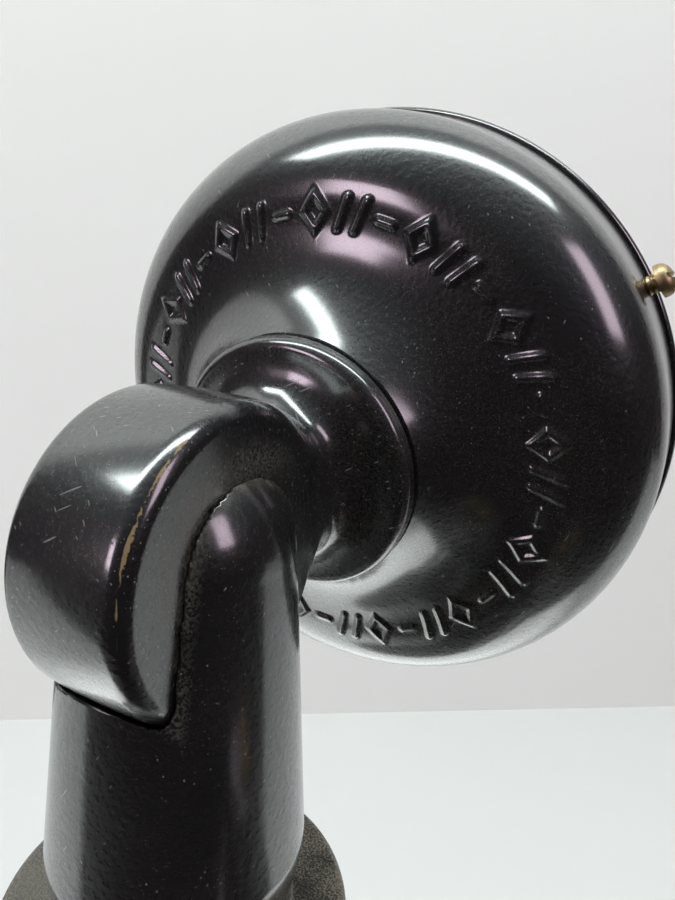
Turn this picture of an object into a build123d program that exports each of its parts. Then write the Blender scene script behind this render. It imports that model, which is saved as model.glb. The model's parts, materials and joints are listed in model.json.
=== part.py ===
"""Desk-stand telephone: tilting transmitter on a stem, hook switch, hung receiver, round base.

Frame, millimetres: origin at the centre of the base's underside, +Z up along the stem,
the mouthpiece faces -Y and the receiver hangs on the -X side.
"""
from build123d import *
from math import atan2, cos, radians, sin
import os

os.makedirs("parts", exist_ok=True)

# ---- driving dimensions ------------------------------------------------------------------
base_radius = 69.5          # outside of the base's rim
base_band = 14.0            # height of the upright band of the base
base_wall = 2.2
base_top = 44.0
pivot_height = 250.0        # tilt pivot above the table
tube_radius = 14.3          # stem tube, outside
tube_wall = 1.2
base_collar_width = 7.7     # top of the base, out from the stem tube
base_collar_radius = tube_radius + base_collar_width
head_radius = 10.9          # stem head at the pivot, also the radius of its domed cheeks
head_growth = 0.08          # the head's radius grows by this for each millimetre downwards
flange_overhang = 4.4       # head's flange stands out this far from the stem tube
flange_radius = tube_radius + flange_overhang
flange_drop = 40.5          # flange's top face below the pivot
flange_thickness = 4.0
clevis_gap = 13.8           # between the two cheeks
disc_radius = 15.4          # lug disc held between the cheeks
face_gap = 0.1              # lug disc to each cheek
disc_thickness = clevis_gap - 2 * face_gap
pivot_screw_radius = 2.5
tilt_at_rest = 10.0         # mouthpiece above level, degrees
boss_distance = 18.0        # pivot to the boss plate's rear face, along the cup axis
boss_rise = 1.0             # cup axis above the pivot
boss_radius = 15.5
boss_thickness = 3.1
cup_radius = 39.0
cup_rounding = 10.4         # rounded shoulder between the rear annulus and the side
cup_shoulder_radius = cup_radius - cup_rounding
cup_shoulder_depth = 10.3   # depths are measured from the boss plate's rear face
cup_rim_depth = 27.3
cup_wall = 1.2
faceplate_overhang = 0.6
faceplate_radius = cup_radius + faceplate_overhang
mouthpiece_radius = 26.0
mouthpiece_length = 38.0
hook_drop = 62.0            # hook lever's pivot below the tilt pivot
hook_height = pivot_height - hook_drop
hook_thickness = 4.0
fork_gap = 26.0             # between the prongs
receiver_offset = 50.0      # receiver axis from the stem axis
receiver_neck_radius = 11.5
receiver_hang = 13.0        # ear cap's face above the top of the base
ear_cap_radius = 31.0

# ---- clearances ----------------------------------------------------------------------------
slide_fit = 0.05            # pieces that push together
running_fit = 0.06          # radial, round a pin that something turns on
free_gap = 0.3              # between pieces that only pass each other


def arc_middle(level_end, other_end):
    """Middle point of the arc that leaves level_end level and ends at other_end."""
    run = other_end[0] - level_end[0]
    rise = other_end[1] - level_end[1]
    radius = (run**2 + rise**2) / (2 * rise)
    half = 0.5 * atan2(run / radius, 1 - rise / radius)
    return (level_end[0] + radius * sin(half), level_end[1] + radius * (1 - cos(half)))


def screw(plane, shank_radius, shank_length, head_radius, head_height, slot=0.7):
    """Slotted screw: the plane lies under its head and faces out of the head."""
    with BuildPart() as one_screw:
        with BuildSketch(plane):
            Circle(head_radius)
        extrude(amount=head_height)
        with BuildSketch(plane):
            Circle(shank_radius)
        extrude(amount=-shank_length)
        with BuildSketch(plane.offset(head_height)):
            Rectangle(2 * head_radius + 1, slot)
        extrude(amount=-0.45 * head_height, mode=Mode.SUBTRACT)
    return one_screw.part


# =============================================================================================
# Base
# =============================================================================================
pad_thickness = 1.6
plate_thickness = 1.5
plate_top = pad_thickness + plate_thickness
rim_lift = 0.6              # shell's rim stays this far above the table
shoulder = 8.0              # rounding between band and top
step = 4.5                  # flat step inside the rounding
band_top = base_band + shoulder
step_radius = base_radius - shoulder - step
collar_edge = 40.0          # height where the sweep meets the collar
sweep_mid = arc_middle((step_radius, band_top), (base_collar_radius, collar_edge))
tube_hole = tube_radius + slide_fit
base_inner = base_radius - base_wall
plate_radius = base_inner - free_gap
plate_screw_circle = base_inner - 8.8
plate_screw_radius = 1.8
plate_screw_length = 8.0
lug_radius = 4.5
inlet_height = 8.7
inlet_hole = 3.9
inlet_bore = 2.7
inlet_angles = (78, 102)    # about +Z from +X: both at the back

with BuildPart() as base_shell:
    with BuildSketch(Plane.XZ):
        with BuildLine():
            Line((base_radius, rim_lift), (base_radius, base_band))
            CenterArc((base_radius - shoulder, base_band), shoulder, 0, 90)
            Line((base_radius - shoulder, band_top), (step_radius, band_top))
            ThreePointArc((step_radius, band_top), sweep_mid, (base_collar_radius, collar_edge))
            Line((base_collar_radius, collar_edge), (base_collar_radius, base_top))
            Line((base_collar_radius, base_top), (tube_hole, base_top))
            offset(amount=base_wall, side=Side.LEFT)
        make_face()
    revolve(axis=Axis.Z)
    with BuildSketch(Plane.XY.offset(plate_top)):
        with PolarLocations(plate_screw_circle, 3, 30):
            Circle(lug_radius)
    extrude(amount=band_top - 0.5 * base_wall - plate_top)
    with BuildSketch(Plane.XY.offset(plate_top)):
        with PolarLocations(plate_screw_circle, 3, 30):
            Circle(plate_screw_radius + slide_fit)
    extrude(amount=plate_screw_length, mode=Mode.SUBTRACT)
    for angle in inlet_angles:
        outward = Vector(1, 0, 0).rotate(Axis.Z, angle)
        with BuildSketch(Plane(outward * (base_inner - 5) + Vector(0, 0, inlet_height), z_dir=outward)):
            Circle(inlet_hole)
        extrude(amount=base_wall + 10, mode=Mode.SUBTRACT)
base_shell.part.label = "base_shell"
export_step(base_shell.part, "parts/base_shell.step")

with BuildPart() as base_plate:
    with BuildSketch(Plane.XY.offset(pad_thickness)):
        Circle(plate_radius)
    extrude(amount=plate_thickness)
    with BuildSketch(Plane.XY.offset(pad_thickness)):
        with PolarLocations(plate_screw_circle, 3, 30):
            Circle(plate_screw_radius + slide_fit)
    extrude(amount=plate_thickness, mode=Mode.SUBTRACT)
base_plate.part.label = "base_plate"
export_step(base_plate.part, "parts/base_plate.step")

plate_head_radius = 3.4
plate_head_height = 1.1
with BuildPart() as base_pad:
    with BuildSketch():
        Circle(plate_radius - 0.5)
    extrude(amount=pad_thickness)
    with BuildSketch(Plane.XY):
        with PolarLocations(plate_screw_circle, 3, 30):
            Circle(plate_head_radius + free_gap)
    extrude(amount=pad_thickness, mode=Mode.SUBTRACT)
base_pad.part.label = "base_pad"
export_step(base_pad.part, "parts/base_pad.step")

with BuildPart() as base_plate_screws:
    for spot in PolarLocations(plate_screw_circle, 3, 30).local_locations:
        under_head = Plane(Vector(0, 0, pad_thickness) + spot.position, z_dir=(0, 0, -1))
        add(screw(under_head, plate_screw_radius, plate_screw_length, plate_head_radius, plate_head_height))
base_plate_screws.part.label = "base_plate_screws"
export_step(base_plate_screws.part, "parts/base_plate_screws.step")

for side, angle in zip(("line", "receiver"), inlet_angles):
    outward = Vector(1, 0, 0).rotate(Axis.Z, angle)
    grommet_plane = Plane(Vector(0, 0, inlet_height), x_dir=outward, z_dir=outward.cross(Vector(0, 0, 1)))
    flange = inlet_hole + 1.2
    inner_face = base_inner - flange**2 / (2 * base_inner) - slide_fit
    with BuildPart() as grommet:
        with BuildSketch(grommet_plane):
            with BuildLine():
                Polyline(
                    (inner_face - 1.5, inlet_bore),
                    (inner_face - 1.5, flange),
                    (inner_face, flange),
                    (inner_face, inlet_hole - slide_fit),
                    (base_radius + slide_fit, inlet_hole - slide_fit),
                    (base_radius + slide_fit, flange),
                    (base_radius + 1.0, flange),
                    (base_radius + 1.8, flange - 0.8),
                    (base_radius + 1.8, inlet_bore),
                    close=True,
                )
            make_face()
        revolve(axis=Axis((0, 0, inlet_height), outward))
    grommet.part.label = side + "_cord_bushing"
    export_step(grommet.part, "parts/" + side + "_cord_bushing.step")

# Terminal block on the base plate, with its binding screws and two fixing screws
block_length = 56.0
block_width = 15.0
block_height = 8.0
block_y = -36.0
block_top = plate_top + block_height
binding_pitch = 10.0
fixing_pitch = block_length - 7.0
small_screw_radius = 1.3
small_head_radius = 2.6
small_head_height = 1.5
fixing_recess = 4.0

with BuildPart() as terminal_block:
    with BuildSketch(Plane.XY.offset(plate_top)):
        with Locations((0, block_y)):
            RectangleRounded(block_length, block_width, 2)
    extrude(amount=block_height)
    with BuildSketch(Plane.XY.offset(block_top)):
        with Locations((0, block_y)):
            with GridLocations(binding_pitch, 0, 4, 1):
                Circle(small_screw_radius + slide_fit)
    extrude(amount=-6, mode=Mode.SUBTRACT)
    with BuildSketch(Plane.XY.offset(block_top)):
        with Locations((0, block_y)):
            with GridLocations(fixing_pitch, 0, 2, 1):
                Circle(small_screw_radius + slide_fit)
    extrude(amount=-block_height, mode=Mode.SUBTRACT)
    with BuildSketch(Plane.XY.offset(block_top)):
        with Locations((0, block_y)):
            with GridLocations(fixing_pitch, 0, 2, 1):
                Circle(small_head_radius + free_gap)
    extrude(amount=-fixing_recess, mode=Mode.SUBTRACT)
terminal_block.part.label = "terminal_block"
export_step(terminal_block.part, "parts/terminal_block.step")

with BuildPart() as terminal_screws:
    for spot in GridLocations(binding_pitch, 0, 4, 1).local_locations:
        under_head = Plane(spot.position + Vector(0, block_y, block_top + slide_fit))
        add(screw(under_head, small_screw_radius, 5.5, 3.4, 1.8))
terminal_screws.part.label = "terminal_screws"
export_step(terminal_screws.part, "parts/terminal_screws.step")

with BuildPart() as block_screws:
    for spot in GridLocations(fixing_pitch, 0, 2, 1).local_locations:
        under_head = Plane(spot.position + Vector(0, block_y, block_top - fixing_recess))
        shank = block_height - fixing_recess
        add(screw(under_head, small_screw_radius, shank, small_head_radius, small_head_height))
block_screws.part.label = "terminal_block_screws"
export_step(block_screws.part, "parts/terminal_block_screws.step")

# =============================================================================================
# Stem
# =============================================================================================
tube_inner = tube_radius - tube_wall
head_foot = pivot_height - flange_drop - flange_thickness   # underside of the flange
nut_height = 5.0
nut_radius = tube_radius + 4.7
nut_top = base_top - base_wall
tube_bottom = nut_top - nut_height - 2.0
collar_height = 6.0
collar_radius = tube_radius + 4.3
slot_half_width = 4.5
fork_top = hook_height + 0.5 * hook_thickness
frame_screw_drops = (14.0, 48.0)    # below the hook pivot
frame_screw_radius = 1.5
head_pin_drop = 6.0                 # below the underside of the flange
head_pin_radius = 1.4

with BuildPart() as stem_nut:
    with BuildSketch(Plane.XY.offset(nut_top - nut_height)):
        RegularPolygon(nut_radius, 6)
        Circle(tube_hole, mode=Mode.SUBTRACT)
    extrude(amount=nut_height)
stem_nut.part.label = "stem_nut"
export_step(stem_nut.part, "parts/stem_nut.step")

with BuildPart() as stem_collar:
    with BuildSketch(Plane.XY.offset(base_top)):
        Circle(collar_radius)
        Circle(tube_hole, mode=Mode.SUBTRACT)
    extrude(amount=collar_height)
    fillet(stem_collar.faces().filter_by(GeomType.CYLINDER).sort_by(SortBy.AREA)[-1].edges().filter_by(
        GeomType.CIRCLE), 0.4 * collar_height)
stem_collar.part.label = "stem_collar"
export_step(stem_collar.part, "parts/stem_collar.step")

hook_lift = 7.0                     # degrees that the lever rises off the hook
pivot_x = 3.0                       # lever's pivot, just beyond the stem axis
slot_rise = (tube_radius + pivot_x) * sin(radians(hook_lift))

with BuildPart() as stem_tube:
    with BuildSketch(Plane.XY.offset(tube_bottom)):
        Circle(tube_radius)
        Circle(tube_inner, mode=Mode.SUBTRACT)
    extrude(amount=head_foot - slide_fit - tube_bottom)
    slot_low = hook_height - 0.5 * hook_thickness - free_gap
    slot_high = fork_top + slot_rise + 2 * free_gap
    slot_middle = Vector(-tube_radius - 1, 0, 0.5 * (slot_low + slot_high))
    with BuildSketch(Plane(slot_middle, x_dir=(0, 1, 0), z_dir=(1, 0, 0))):
        RectangleRounded(2 * slot_half_width, slot_high - slot_low, 1)
    extrude(amount=tube_wall + 3, mode=Mode.SUBTRACT)
    for drop in frame_screw_drops:
        with BuildSketch(Plane((tube_inner - 1, 0, hook_height - drop), z_dir=(1, 0, 0))):
            Circle(frame_screw_radius + slide_fit)
        extrude(amount=tube_wall + 2, mode=Mode.SUBTRACT)
    with BuildSketch(Plane((0, tube_radius + 1, head_foot - head_pin_drop), z_dir=(0, -1, 0))):
        Circle(head_pin_radius + slide_fit)
    extrude(amount=2 * tube_radius + 2, mode=Mode.SUBTRACT)
stem_tube.part.label = "stem_tube"
export_step(stem_tube.part, "parts/stem_tube.step")

# Stem head: pear-shaped body, domed top sliced into two cheeks, flange and spigot
belly_drop = 31.0                   # below the pivot, where the head is widest
belly_radius = head_radius + head_growth * belly_drop
waist_radius = 12.2                 # where the head meets the flange
seat_radius = disc_radius + 0.44
spigot_length = 12.0
wire_bore = 6.5
cheek_screw_recess = 8.2            # floor of the screw-head recess in the +X cheek
cheek_head_radius = 4.0
cheek_head_height = 2.1
blind_depth = 9.2                   # pivot screw ends here in the -X cheek
flange_edge = 1.6

with BuildPart() as stem_head:
    with BuildSketch(Plane.XZ.offset(0)):
        with BuildLine():
            Line((0, pivot_height + head_radius), (0, pivot_height - flange_drop))
            Line((0, pivot_height - flange_drop), (waist_radius, pivot_height - flange_drop))
            Spline(
                (waist_radius, pivot_height - flange_drop),
                (belly_radius, pivot_height - belly_drop),
                tangents=[(0.55, 1), (-head_growth, 1)],
                tangent_scalars=[0.5, 0.8],
            )
            Line((belly_radius, pivot_height - belly_drop), (head_radius, pivot_height))
            CenterArc((0, pivot_height), head_radius, 0, 90)
        make_face()
    revolve(axis=Axis.Z)
    with BuildSketch(Plane.XZ):
        with BuildLine():
            Polyline(
                (0, pivot_height - flange_drop),
                (flange_radius - flange_edge, pivot_height - flange_drop),
            )
            CenterArc(
                (flange_radius - flange_edge, pivot_height - flange_drop - flange_edge), flange_edge, 0, 90
            )
            Polyline(
                (flange_radius, pivot_height - flange_drop - flange_edge),
                (flange_radius, head_foot + 0.6),
                (flange_radius - 0.6, head_foot),
                (tube_inner - slide_fit, head_foot),
                (tube_inner - slide_fit, head_foot - spigot_length),
                (0, head_foot - spigot_length),
                (0, pivot_height - flange_drop),
            )
        make_face()
    revolve(axis=Axis.Z)
    with BuildSketch(Plane.YZ.offset(-0.5 * clevis_gap)):
        with Locations((0, pivot_height)):
            Circle(seat_radius)
    extrude(amount=clevis_gap, mode=Mode.SUBTRACT)
    with BuildSketch(Plane.XY.offset(head_foot - spigot_length)):
        Circle(wire_bore)
    extrude(amount=pivot_height - head_foot + spigot_length - seat_radius + 2, mode=Mode.SUBTRACT)
    with BuildSketch(Plane((-blind_depth, 0, pivot_height), z_dir=(1, 0, 0))):
        Circle(pivot_screw_radius + slide_fit)
    extrude(amount=blind_depth + head_radius + 2, mode=Mode.SUBTRACT)
    with BuildSketch(Plane((cheek_screw_recess, 0, pivot_height), z_dir=(1, 0, 0))):
        Circle(cheek_head_radius + 0.15)
    extrude(amount=head_radius, mode=Mode.SUBTRACT)
    with BuildSketch(Plane((0, tube_radius, head_foot - head_pin_drop), z_dir=(0, -1, 0))):
        Circle(head_pin_radius + slide_fit)
    extrude(amount=2 * tube_radius, mode=Mode.SUBTRACT)
stem_head.part.label = "stem_head"
export_step(stem_head.part, "parts/stem_head.step")

with BuildPart() as head_pins:
    for side in (1, -1):
        outer_end = Plane((0, side * (tube_radius + 0.1), head_foot - head_pin_drop), z_dir=(0, -side, 0))
        with BuildSketch(outer_end):
            Circle(head_pin_radius)
        extrude(amount=tube_radius - wire_bore - 1)
        with BuildSketch(outer_end):
            Rectangle(4 * head_pin_radius, 0.5)
        extrude(amount=0.8, mode=Mode.SUBTRACT)
head_pins.part.label = "stem_head_grub_screws"
export_step(head_pins.part, "parts/stem_head_grub_screws.step")

with BuildPart() as pivot_screw:
    under_head = Plane((cheek_screw_recess + slide_fit, 0, pivot_height), z_dir=(1, 0, 0))
    pivot_length = cheek_screw_recess + blind_depth - free_gap
    add(screw(under_head, pivot_screw_radius, pivot_length, cheek_head_radius, cheek_head_height, 1.1))
pivot_screw.part.label = "pivot_screw"
export_step(pivot_screw.part, "parts/pivot_screw.step")

washer_recess = 6.2                 # radius of the recess in the lug's far face
washer_radius = 5.6
washer_thickness = 0.6
with BuildPart() as friction_washer:
    with BuildSketch(Plane.YZ.offset(0.5 * clevis_gap - slide_fit)):
        with Locations((0, pivot_height)):
            Circle(washer_radius)
            Circle(pivot_screw_radius + running_fit, mode=Mode.SUBTRACT)
    extrude(amount=-washer_thickness)
friction_washer.part.label = "friction_washer"
export_step(friction_washer.part, "parts/friction_washer.step")

# =============================================================================================
# Hook switch, inside the stem tube
# =============================================================================================
strip_outer = 11.0                  # outer face of the frame's strip
strip_thickness = 1.8
strip_inner = strip_outer - strip_thickness
strip_half_width = 6.0
strip_low = hook_height - 66.0
strip_high = hook_height + 5.0
ear_thickness = 1.4
ear_reach = 1.5                     # ears run to this far on the -X side of the stem axis
pin_radius = 1.5
lever_half_width = 4.0
spacer_radius = 3.2
stack_high = hook_height - 52.0
stack_low = hook_height - 63.0
stack_screw_drops = (55.0, 60.0)
blade_thickness = 0.4
blade_half_width = 2.6
cam_low = hook_height - 21.0
cam_high = hook_height - 16.0
cam_half = 2.5
cam_near = pivot_x - cam_half       # cam's face on the contact side
cam_far = pivot_x + cam_half
moving_blade_x = cam_near - free_gap - blade_thickness
spring_blade_x = cam_far + free_gap
flex = (hook_height - cam_low) * sin(radians(hook_lift))
fixed_blade_x = moving_blade_x - flex - blade_thickness - 0.3
fixed_blade_top = cam_low - 2.0
rivet_height = fixed_blade_top - 2.5
rivet_thickness = 0.35 * (moving_blade_x - fixed_blade_x - blade_thickness)

with BuildPart() as switch_frame:
    with BuildSketch(Plane.YZ.offset(strip_inner)):
        with Locations((0, 0.5 * (strip_low + strip_high))):
            RectangleRounded(2 * strip_half_width, strip_high - strip_low, 1.5)
    extrude(amount=strip_thickness)
    for side in (1, -1):
        with BuildSketch(Plane((0, side * strip_half_width, 0), x_dir=(1, 0, 0), z_dir=(0, -side, 0))):
            with BuildLine():
                Polyline(
                    (strip_inner + 0.5, side * (hook_height - 9)),
                    (-ear_reach, side * (hook_height - 4)),
                    (-ear_reach, side * (hook_height + 4)),
                    (strip_inner + 0.5, side * (hook_height + 4.5)),
                    close=True,
                )
            make_face()
        extrude(amount=ear_thickness)
    for drop in frame_screw_drops:
        with BuildSketch(Plane((strip_outer, 0, hook_height - drop), z_dir=(1, 0, 0))):
            Circle(spacer_radius)
        extrude(amount=tube_inner - spacer_radius**2 / (2 * tube_inner) - slide_fit - strip_outer)
        with BuildSketch(Plane((strip_inner - 1, 0, hook_height - drop), z_dir=(1, 0, 0))):
            Circle(frame_screw_radius + slide_fit)
        extrude(amount=tube_radius, mode=Mode.SUBTRACT)
    with BuildSketch(Plane((pivot_x, -tube_radius, hook_height), z_dir=(0, 1, 0))):
        Circle(pin_radius + 0.02)
    extrude(amount=2 * tube_radius, mode=Mode.SUBTRACT)
    for drop in stack_screw_drops:
        with BuildSketch(Plane((strip_inner - 1, 0, hook_height - drop), z_dir=(1, 0, 0))):
            Circle(small_screw_radius + slide_fit)
        extrude(amount=strip_thickness + 2, mode=Mode.SUBTRACT)
switch_frame.part.label = "switch_frame"
export_step(switch_frame.part, "parts/switch_frame.step")

with BuildPart() as frame_screws:
    for drop in frame_screw_drops:
        under_head = Plane((tube_radius + slide_fit, 0, hook_height - drop), z_dir=(1, 0, 0))
        add(screw(under_head, frame_screw_radius, tube_radius - strip_inner + 0.6, 3.0, 1.6))
frame_screws.part.label = "switch_frame_screws"
export_step(frame_screws.part, "parts/switch_frame_screws.step")

with BuildPart() as hook_pin:
    with BuildSketch(Plane((pivot_x, -strip_half_width - 0.4, hook_height), z_dir=(0, 1, 0))):
        Circle(pin_radius)
    extrude(amount=2 * strip_half_width + 0.8)
hook_pin.part.label = "hook_pivot_pin"
export_step(hook_pin.part, "parts/hook_pivot_pin.step")

# Contact springs, from the contact side (-X) to the frame: fixed, moving, return spring
blades = (
    ("fixed_contact_spring", fixed_blade_x, fixed_blade_top, 1),
    ("moving_contact_spring", moving_blade_x, cam_high, -1),
    ("return_spring", spring_blade_x, cam_high, 0),
)
for name, blade_x, blade_top, rivet_side in blades:
    with BuildPart() as blade:
        with BuildSketch(Plane.YZ.offset(blade_x)):
            with Locations((0, 0.5 * (stack_low - 4 + blade_top))):
                RectangleRounded(2 * blade_half_width, blade_top - stack_low + 4, 1)
        extrude(amount=blade_thickness)
        for drop in stack_screw_drops:
            with BuildSketch(Plane.YZ.offset(blade_x)):
                with Locations((0, hook_height - drop)):
                    Circle(small_screw_radius + 0.2)
            extrude(amount=blade_thickness, mode=Mode.SUBTRACT)
        if rivet_side:
            rivet_face = blade_x + (blade_thickness if rivet_side > 0 else 0)
            with BuildSketch(Plane((rivet_face, 0, rivet_height), z_dir=(rivet_side, 0, 0))):
                Circle(1.1)
            extrude(amount=rivet_thickness)
    blade.part.label = name
    export_step(blade.part, "parts/" + name + ".step")

# Insulators fill the spaces between the blades; a clamp plate closes the stack
spacer_gaps = (
    (fixed_blade_x - 1.6, fixed_blade_x),
    (fixed_blade_x + blade_thickness, moving_blade_x),
    (moving_blade_x + blade_thickness, spring_blade_x),
    (spring_blade_x + blade_thickness, strip_inner),
)
with BuildPart() as insulators:
    for near, far in spacer_gaps:
        with BuildSketch(Plane.YZ.offset(near)):
            with Locations((0, 0.5 * (stack_low + stack_high))):
                RectangleRounded(2 * blade_half_width + 2, stack_high - stack_low, 0.6)
            with Locations(*[(0, hook_height - drop) for drop in stack_screw_drops]):
                Circle(small_screw_radius + slide_fit, mode=Mode.SUBTRACT)
        extrude(amount=far - near)
insulators.part.label = "stack_insulators"
export_step(insulators.part, "parts/stack_insulators.step")

with BuildPart() as stack_screws:
    for drop in stack_screw_drops:
        under_head = Plane((fixed_blade_x - 1.6, 0, hook_height - drop), z_dir=(-1, 0, 0))
        stack_depth = strip_outer - fixed_blade_x + 1.6
        add(screw(under_head, small_screw_radius, stack_depth, 2.2, 1.3))
stack_screws.part.label = "stack_screws"
export_step(stack_screws.part, "parts/stack_screws.step")

# Hook lever: fork outside the tube, a drop arm with an insulating cam inside it
prong_width = 6.0
fork_inner = 0.5 * fork_gap
fork_outer = fork_inner + prong_width
prong_tip_x = -receiver_offset - 19.0
tip_lift = 2.0                      # raised ends that keep the receiver on
tip_radius = 0.5 * prong_width
arm_half = 1.5

with BuildPart() as hook_lever:
    with BuildSketch(Plane.XY.offset(hook_height - 0.5 * hook_thickness)):
        with Locations((-receiver_offset, 0)):
            Circle(fork_outer)
        with Locations((0.5 * (prong_tip_x + tip_radius - receiver_offset), 0)):
            Rectangle(-receiver_offset - prong_tip_x - tip_radius, 2 * fork_outer)
        with Locations((-receiver_offset, 0)):
            Circle(fork_inner, mode=Mode.SUBTRACT)
        with Locations((-receiver_offset - fork_outer, 0)):
            Rectangle(2 * fork_outer, fork_gap, mode=Mode.SUBTRACT)
        with Locations((prong_tip_x + tip_radius, fork_inner + tip_radius)):
            Circle(tip_radius)
        with Locations((prong_tip_x + tip_radius, -fork_inner - tip_radius)):
            Circle(tip_radius)
        with Locations((0.5 * (pivot_x + 4 - receiver_offset + fork_inner), 0)):
            Rectangle(pivot_x + 4 + receiver_offset - fork_inner - 1, 2 * lever_half_width)
    extrude(amount=hook_thickness)
    with BuildSketch(Plane.XY.offset(fork_top)):
        with Locations((prong_tip_x + tip_radius, fork_inner + tip_radius)):
            Circle(tip_radius)
        with Locations((prong_tip_x + tip_radius, -fork_inner - tip_radius)):
            Circle(tip_radius)
    extrude(amount=tip_lift, taper=30)
    with BuildSketch(Plane.XZ.offset(-arm_half)):
        with Locations((pivot_x, 0.5 * (hook_height + cam_high))):
            Rectangle(2 * arm_half, hook_height - cam_high)
        with Locations((pivot_x, hook_height)):
            Circle(0.5 * hook_thickness + 1)
    extrude(amount=2 * arm_half)
    with BuildSketch(Plane((pivot_x, -tube_radius, hook_height), z_dir=(0, 1, 0))):
        Circle(pin_radius + running_fit)
    extrude(amount=2 * tube_radius, mode=Mode.SUBTRACT)
hook_lever.part.label = "hook_lever"
export_step(hook_lever.part, "parts/hook_lever.step")

with BuildPart() as hook_cam:
    with BuildSketch(Plane.XZ.offset(-blade_half_width)):
        with Locations((pivot_x, 0.5 * (cam_low + cam_high))):
            RectangleRounded(2 * cam_half, cam_high - cam_low, 0.8)
    extrude(amount=2 * blade_half_width)
hook_cam.part.label = "hook_cam"
export_step(hook_cam.part, "parts/hook_cam.step")

# =============================================================================================
# Transmitter. Local frame at the boss plate's rear face: x along +X, y up, z towards the mouth
# =============================================================================================
forward = Vector(0, -cos(radians(tilt_at_rest)), sin(radians(tilt_at_rest)))
upward = Vector(0, sin(radians(tilt_at_rest)), cos(radians(tilt_at_rest)))
pivot = Vector(0, 0, pivot_height)
boss_centre = pivot + forward * boss_distance + upward * boss_rise
boss_plane = Plane(boss_centre, x_dir=(1, 0, 0), z_dir=forward)
profile_plane = Plane(boss_centre, x_dir=(1, 0, 0), z_dir=upward * -1)      # x radius, y depth
cup_axis = Axis(boss_centre, forward)
lug_plane = Plane(pivot, x_dir=forward, z_dir=(-1, 0, 0))                   # x forward, y up
neck_half_width = 6.3
neck_half_height = 8.5
neck_flare = 2.2
disc_edge = 1.7
lead_hole = 1.8
lead_turn = 6.0                     # leads turn down this far in front of the pivot
cup_back_hole = 4.0
lug_screw_circle = 10.5
lug_screw_radius = 1.5
cup_floor = boss_thickness + cup_wall

with BuildPart() as lug_disc:
    with BuildSketch(lug_plane.offset(-0.5 * disc_thickness)):
        Circle(disc_radius)
    extrude(amount=disc_thickness)
    fillet(lug_disc.edges().filter_by(GeomType.CIRCLE), disc_edge)

with BuildPart() as lug:
    with BuildSketch(boss_plane):
        RectangleRounded(2 * neck_half_width, 2 * neck_half_height, 3)
    extrude(amount=-boss_distance)
    with BuildSketch(boss_plane):
        Circle(boss_radius)
    extrude(amount=boss_thickness - slide_fit)
    neck_foot = lug.edges().filter_by(lambda e: abs(boss_plane.to_local_coords(e.center()).Z) < 0.01)
    fillet(neck_foot.filter_by(lambda e: e.radius < boss_radius - 1 if e.geom_type == GeomType.CIRCLE
           else True), neck_flare)
    add(lug_disc.part)
    with BuildSketch(lug_plane.offset(-disc_thickness)):
        Circle(pivot_screw_radius + running_fit)
    extrude(amount=2 * disc_thickness, mode=Mode.SUBTRACT)
    with BuildSketch(lug_plane.offset(-0.5 * disc_thickness)):
        Circle(washer_recess)
    extrude(amount=washer_thickness, mode=Mode.SUBTRACT)
    with BuildSketch(boss_plane.offset(boss_thickness)):
        Circle(lead_hole)
    extrude(amount=lead_turn - boss_distance - boss_thickness, mode=Mode.SUBTRACT)
    with BuildSketch(Plane(pivot + forward * lead_turn + upward * boss_rise, z_dir=upward * -1)):
        Circle(lead_hole)
    extrude(amount=disc_radius + 2, mode=Mode.SUBTRACT)
    with BuildSketch(boss_plane.offset(boss_thickness)):
        with PolarLocations(lug_screw_circle, 3, 90):
            Circle(lug_screw_radius + slide_fit)
    extrude(amount=0.8 - boss_thickness, mode=Mode.SUBTRACT)
lug.part.label = "tilting_lug"
export_step(lug.part, "parts/tilting_lug.step")

# Cup: concave flank from the boss to the rear annulus, then a rounded shoulder
cup_side_depth = cup_shoulder_depth + cup_rounding
flank_mid = arc_middle((cup_shoulder_radius, cup_shoulder_depth), (boss_radius, boss_thickness))
rim_screw_depth = 25.4
rim_screw_radius = 1.15
rim_screw_head = 1.95
rim_screw_head_height = 1.9
rim_screw_length = 4.2
rim_screw_angles = (30, 150, 270)
loose_angle = 150                   # this screw has been backed out
loose_travel = 1.3

with BuildPart() as cup:
    with BuildSketch(profile_plane):
        with BuildLine():
            Line((cup_back_hole, boss_thickness), (boss_radius, boss_thickness))
            ThreePointArc(
                (boss_radius, boss_thickness), flank_mid, (cup_shoulder_radius, cup_shoulder_depth)
            )
            CenterArc((cup_shoulder_radius, cup_side_depth), cup_rounding, 270, 90)
            Line((cup_radius, cup_side_depth), (cup_radius, cup_rim_depth))
            offset(amount=cup_wall, side=Side.LEFT)
        make_face()
    revolve(axis=cup_axis)
    for angle in rim_screw_angles:
        radial = boss_plane.x_dir.rotate(Axis((0, 0, 0), forward), angle)
        inside_cup = boss_centre + forward * rim_screw_depth + radial * (cup_radius - 2 * cup_wall)
        with BuildSketch(Plane(inside_cup, z_dir=radial)):
            Circle(rim_screw_radius + 2 * slide_fit)
        extrude(amount=3 * cup_wall, mode=Mode.SUBTRACT)
    with BuildSketch(boss_plane):
        with PolarLocations(lug_screw_circle, 3, 90):
            Circle(lug_screw_radius + slide_fit)
    extrude(amount=cup_floor + 1, mode=Mode.SUBTRACT)
cup.part.label = "transmitter_cup"
export_step(cup.part, "parts/transmitter_cup.step")

with BuildPart() as lug_screws:
    for angle in (90, 210, 330):
        across = boss_plane.x_dir.rotate(Axis((0, 0, 0), forward), angle)
        under_head = Plane(boss_centre + across * lug_screw_circle + forward * cup_floor, z_dir=forward)
        add(screw(under_head, lug_screw_radius, cup_floor - 1.0, 2.8, 1.7))
lug_screws.part.label = "lug_screws"
export_step(lug_screws.part, "parts/lug_screws.step")

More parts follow.
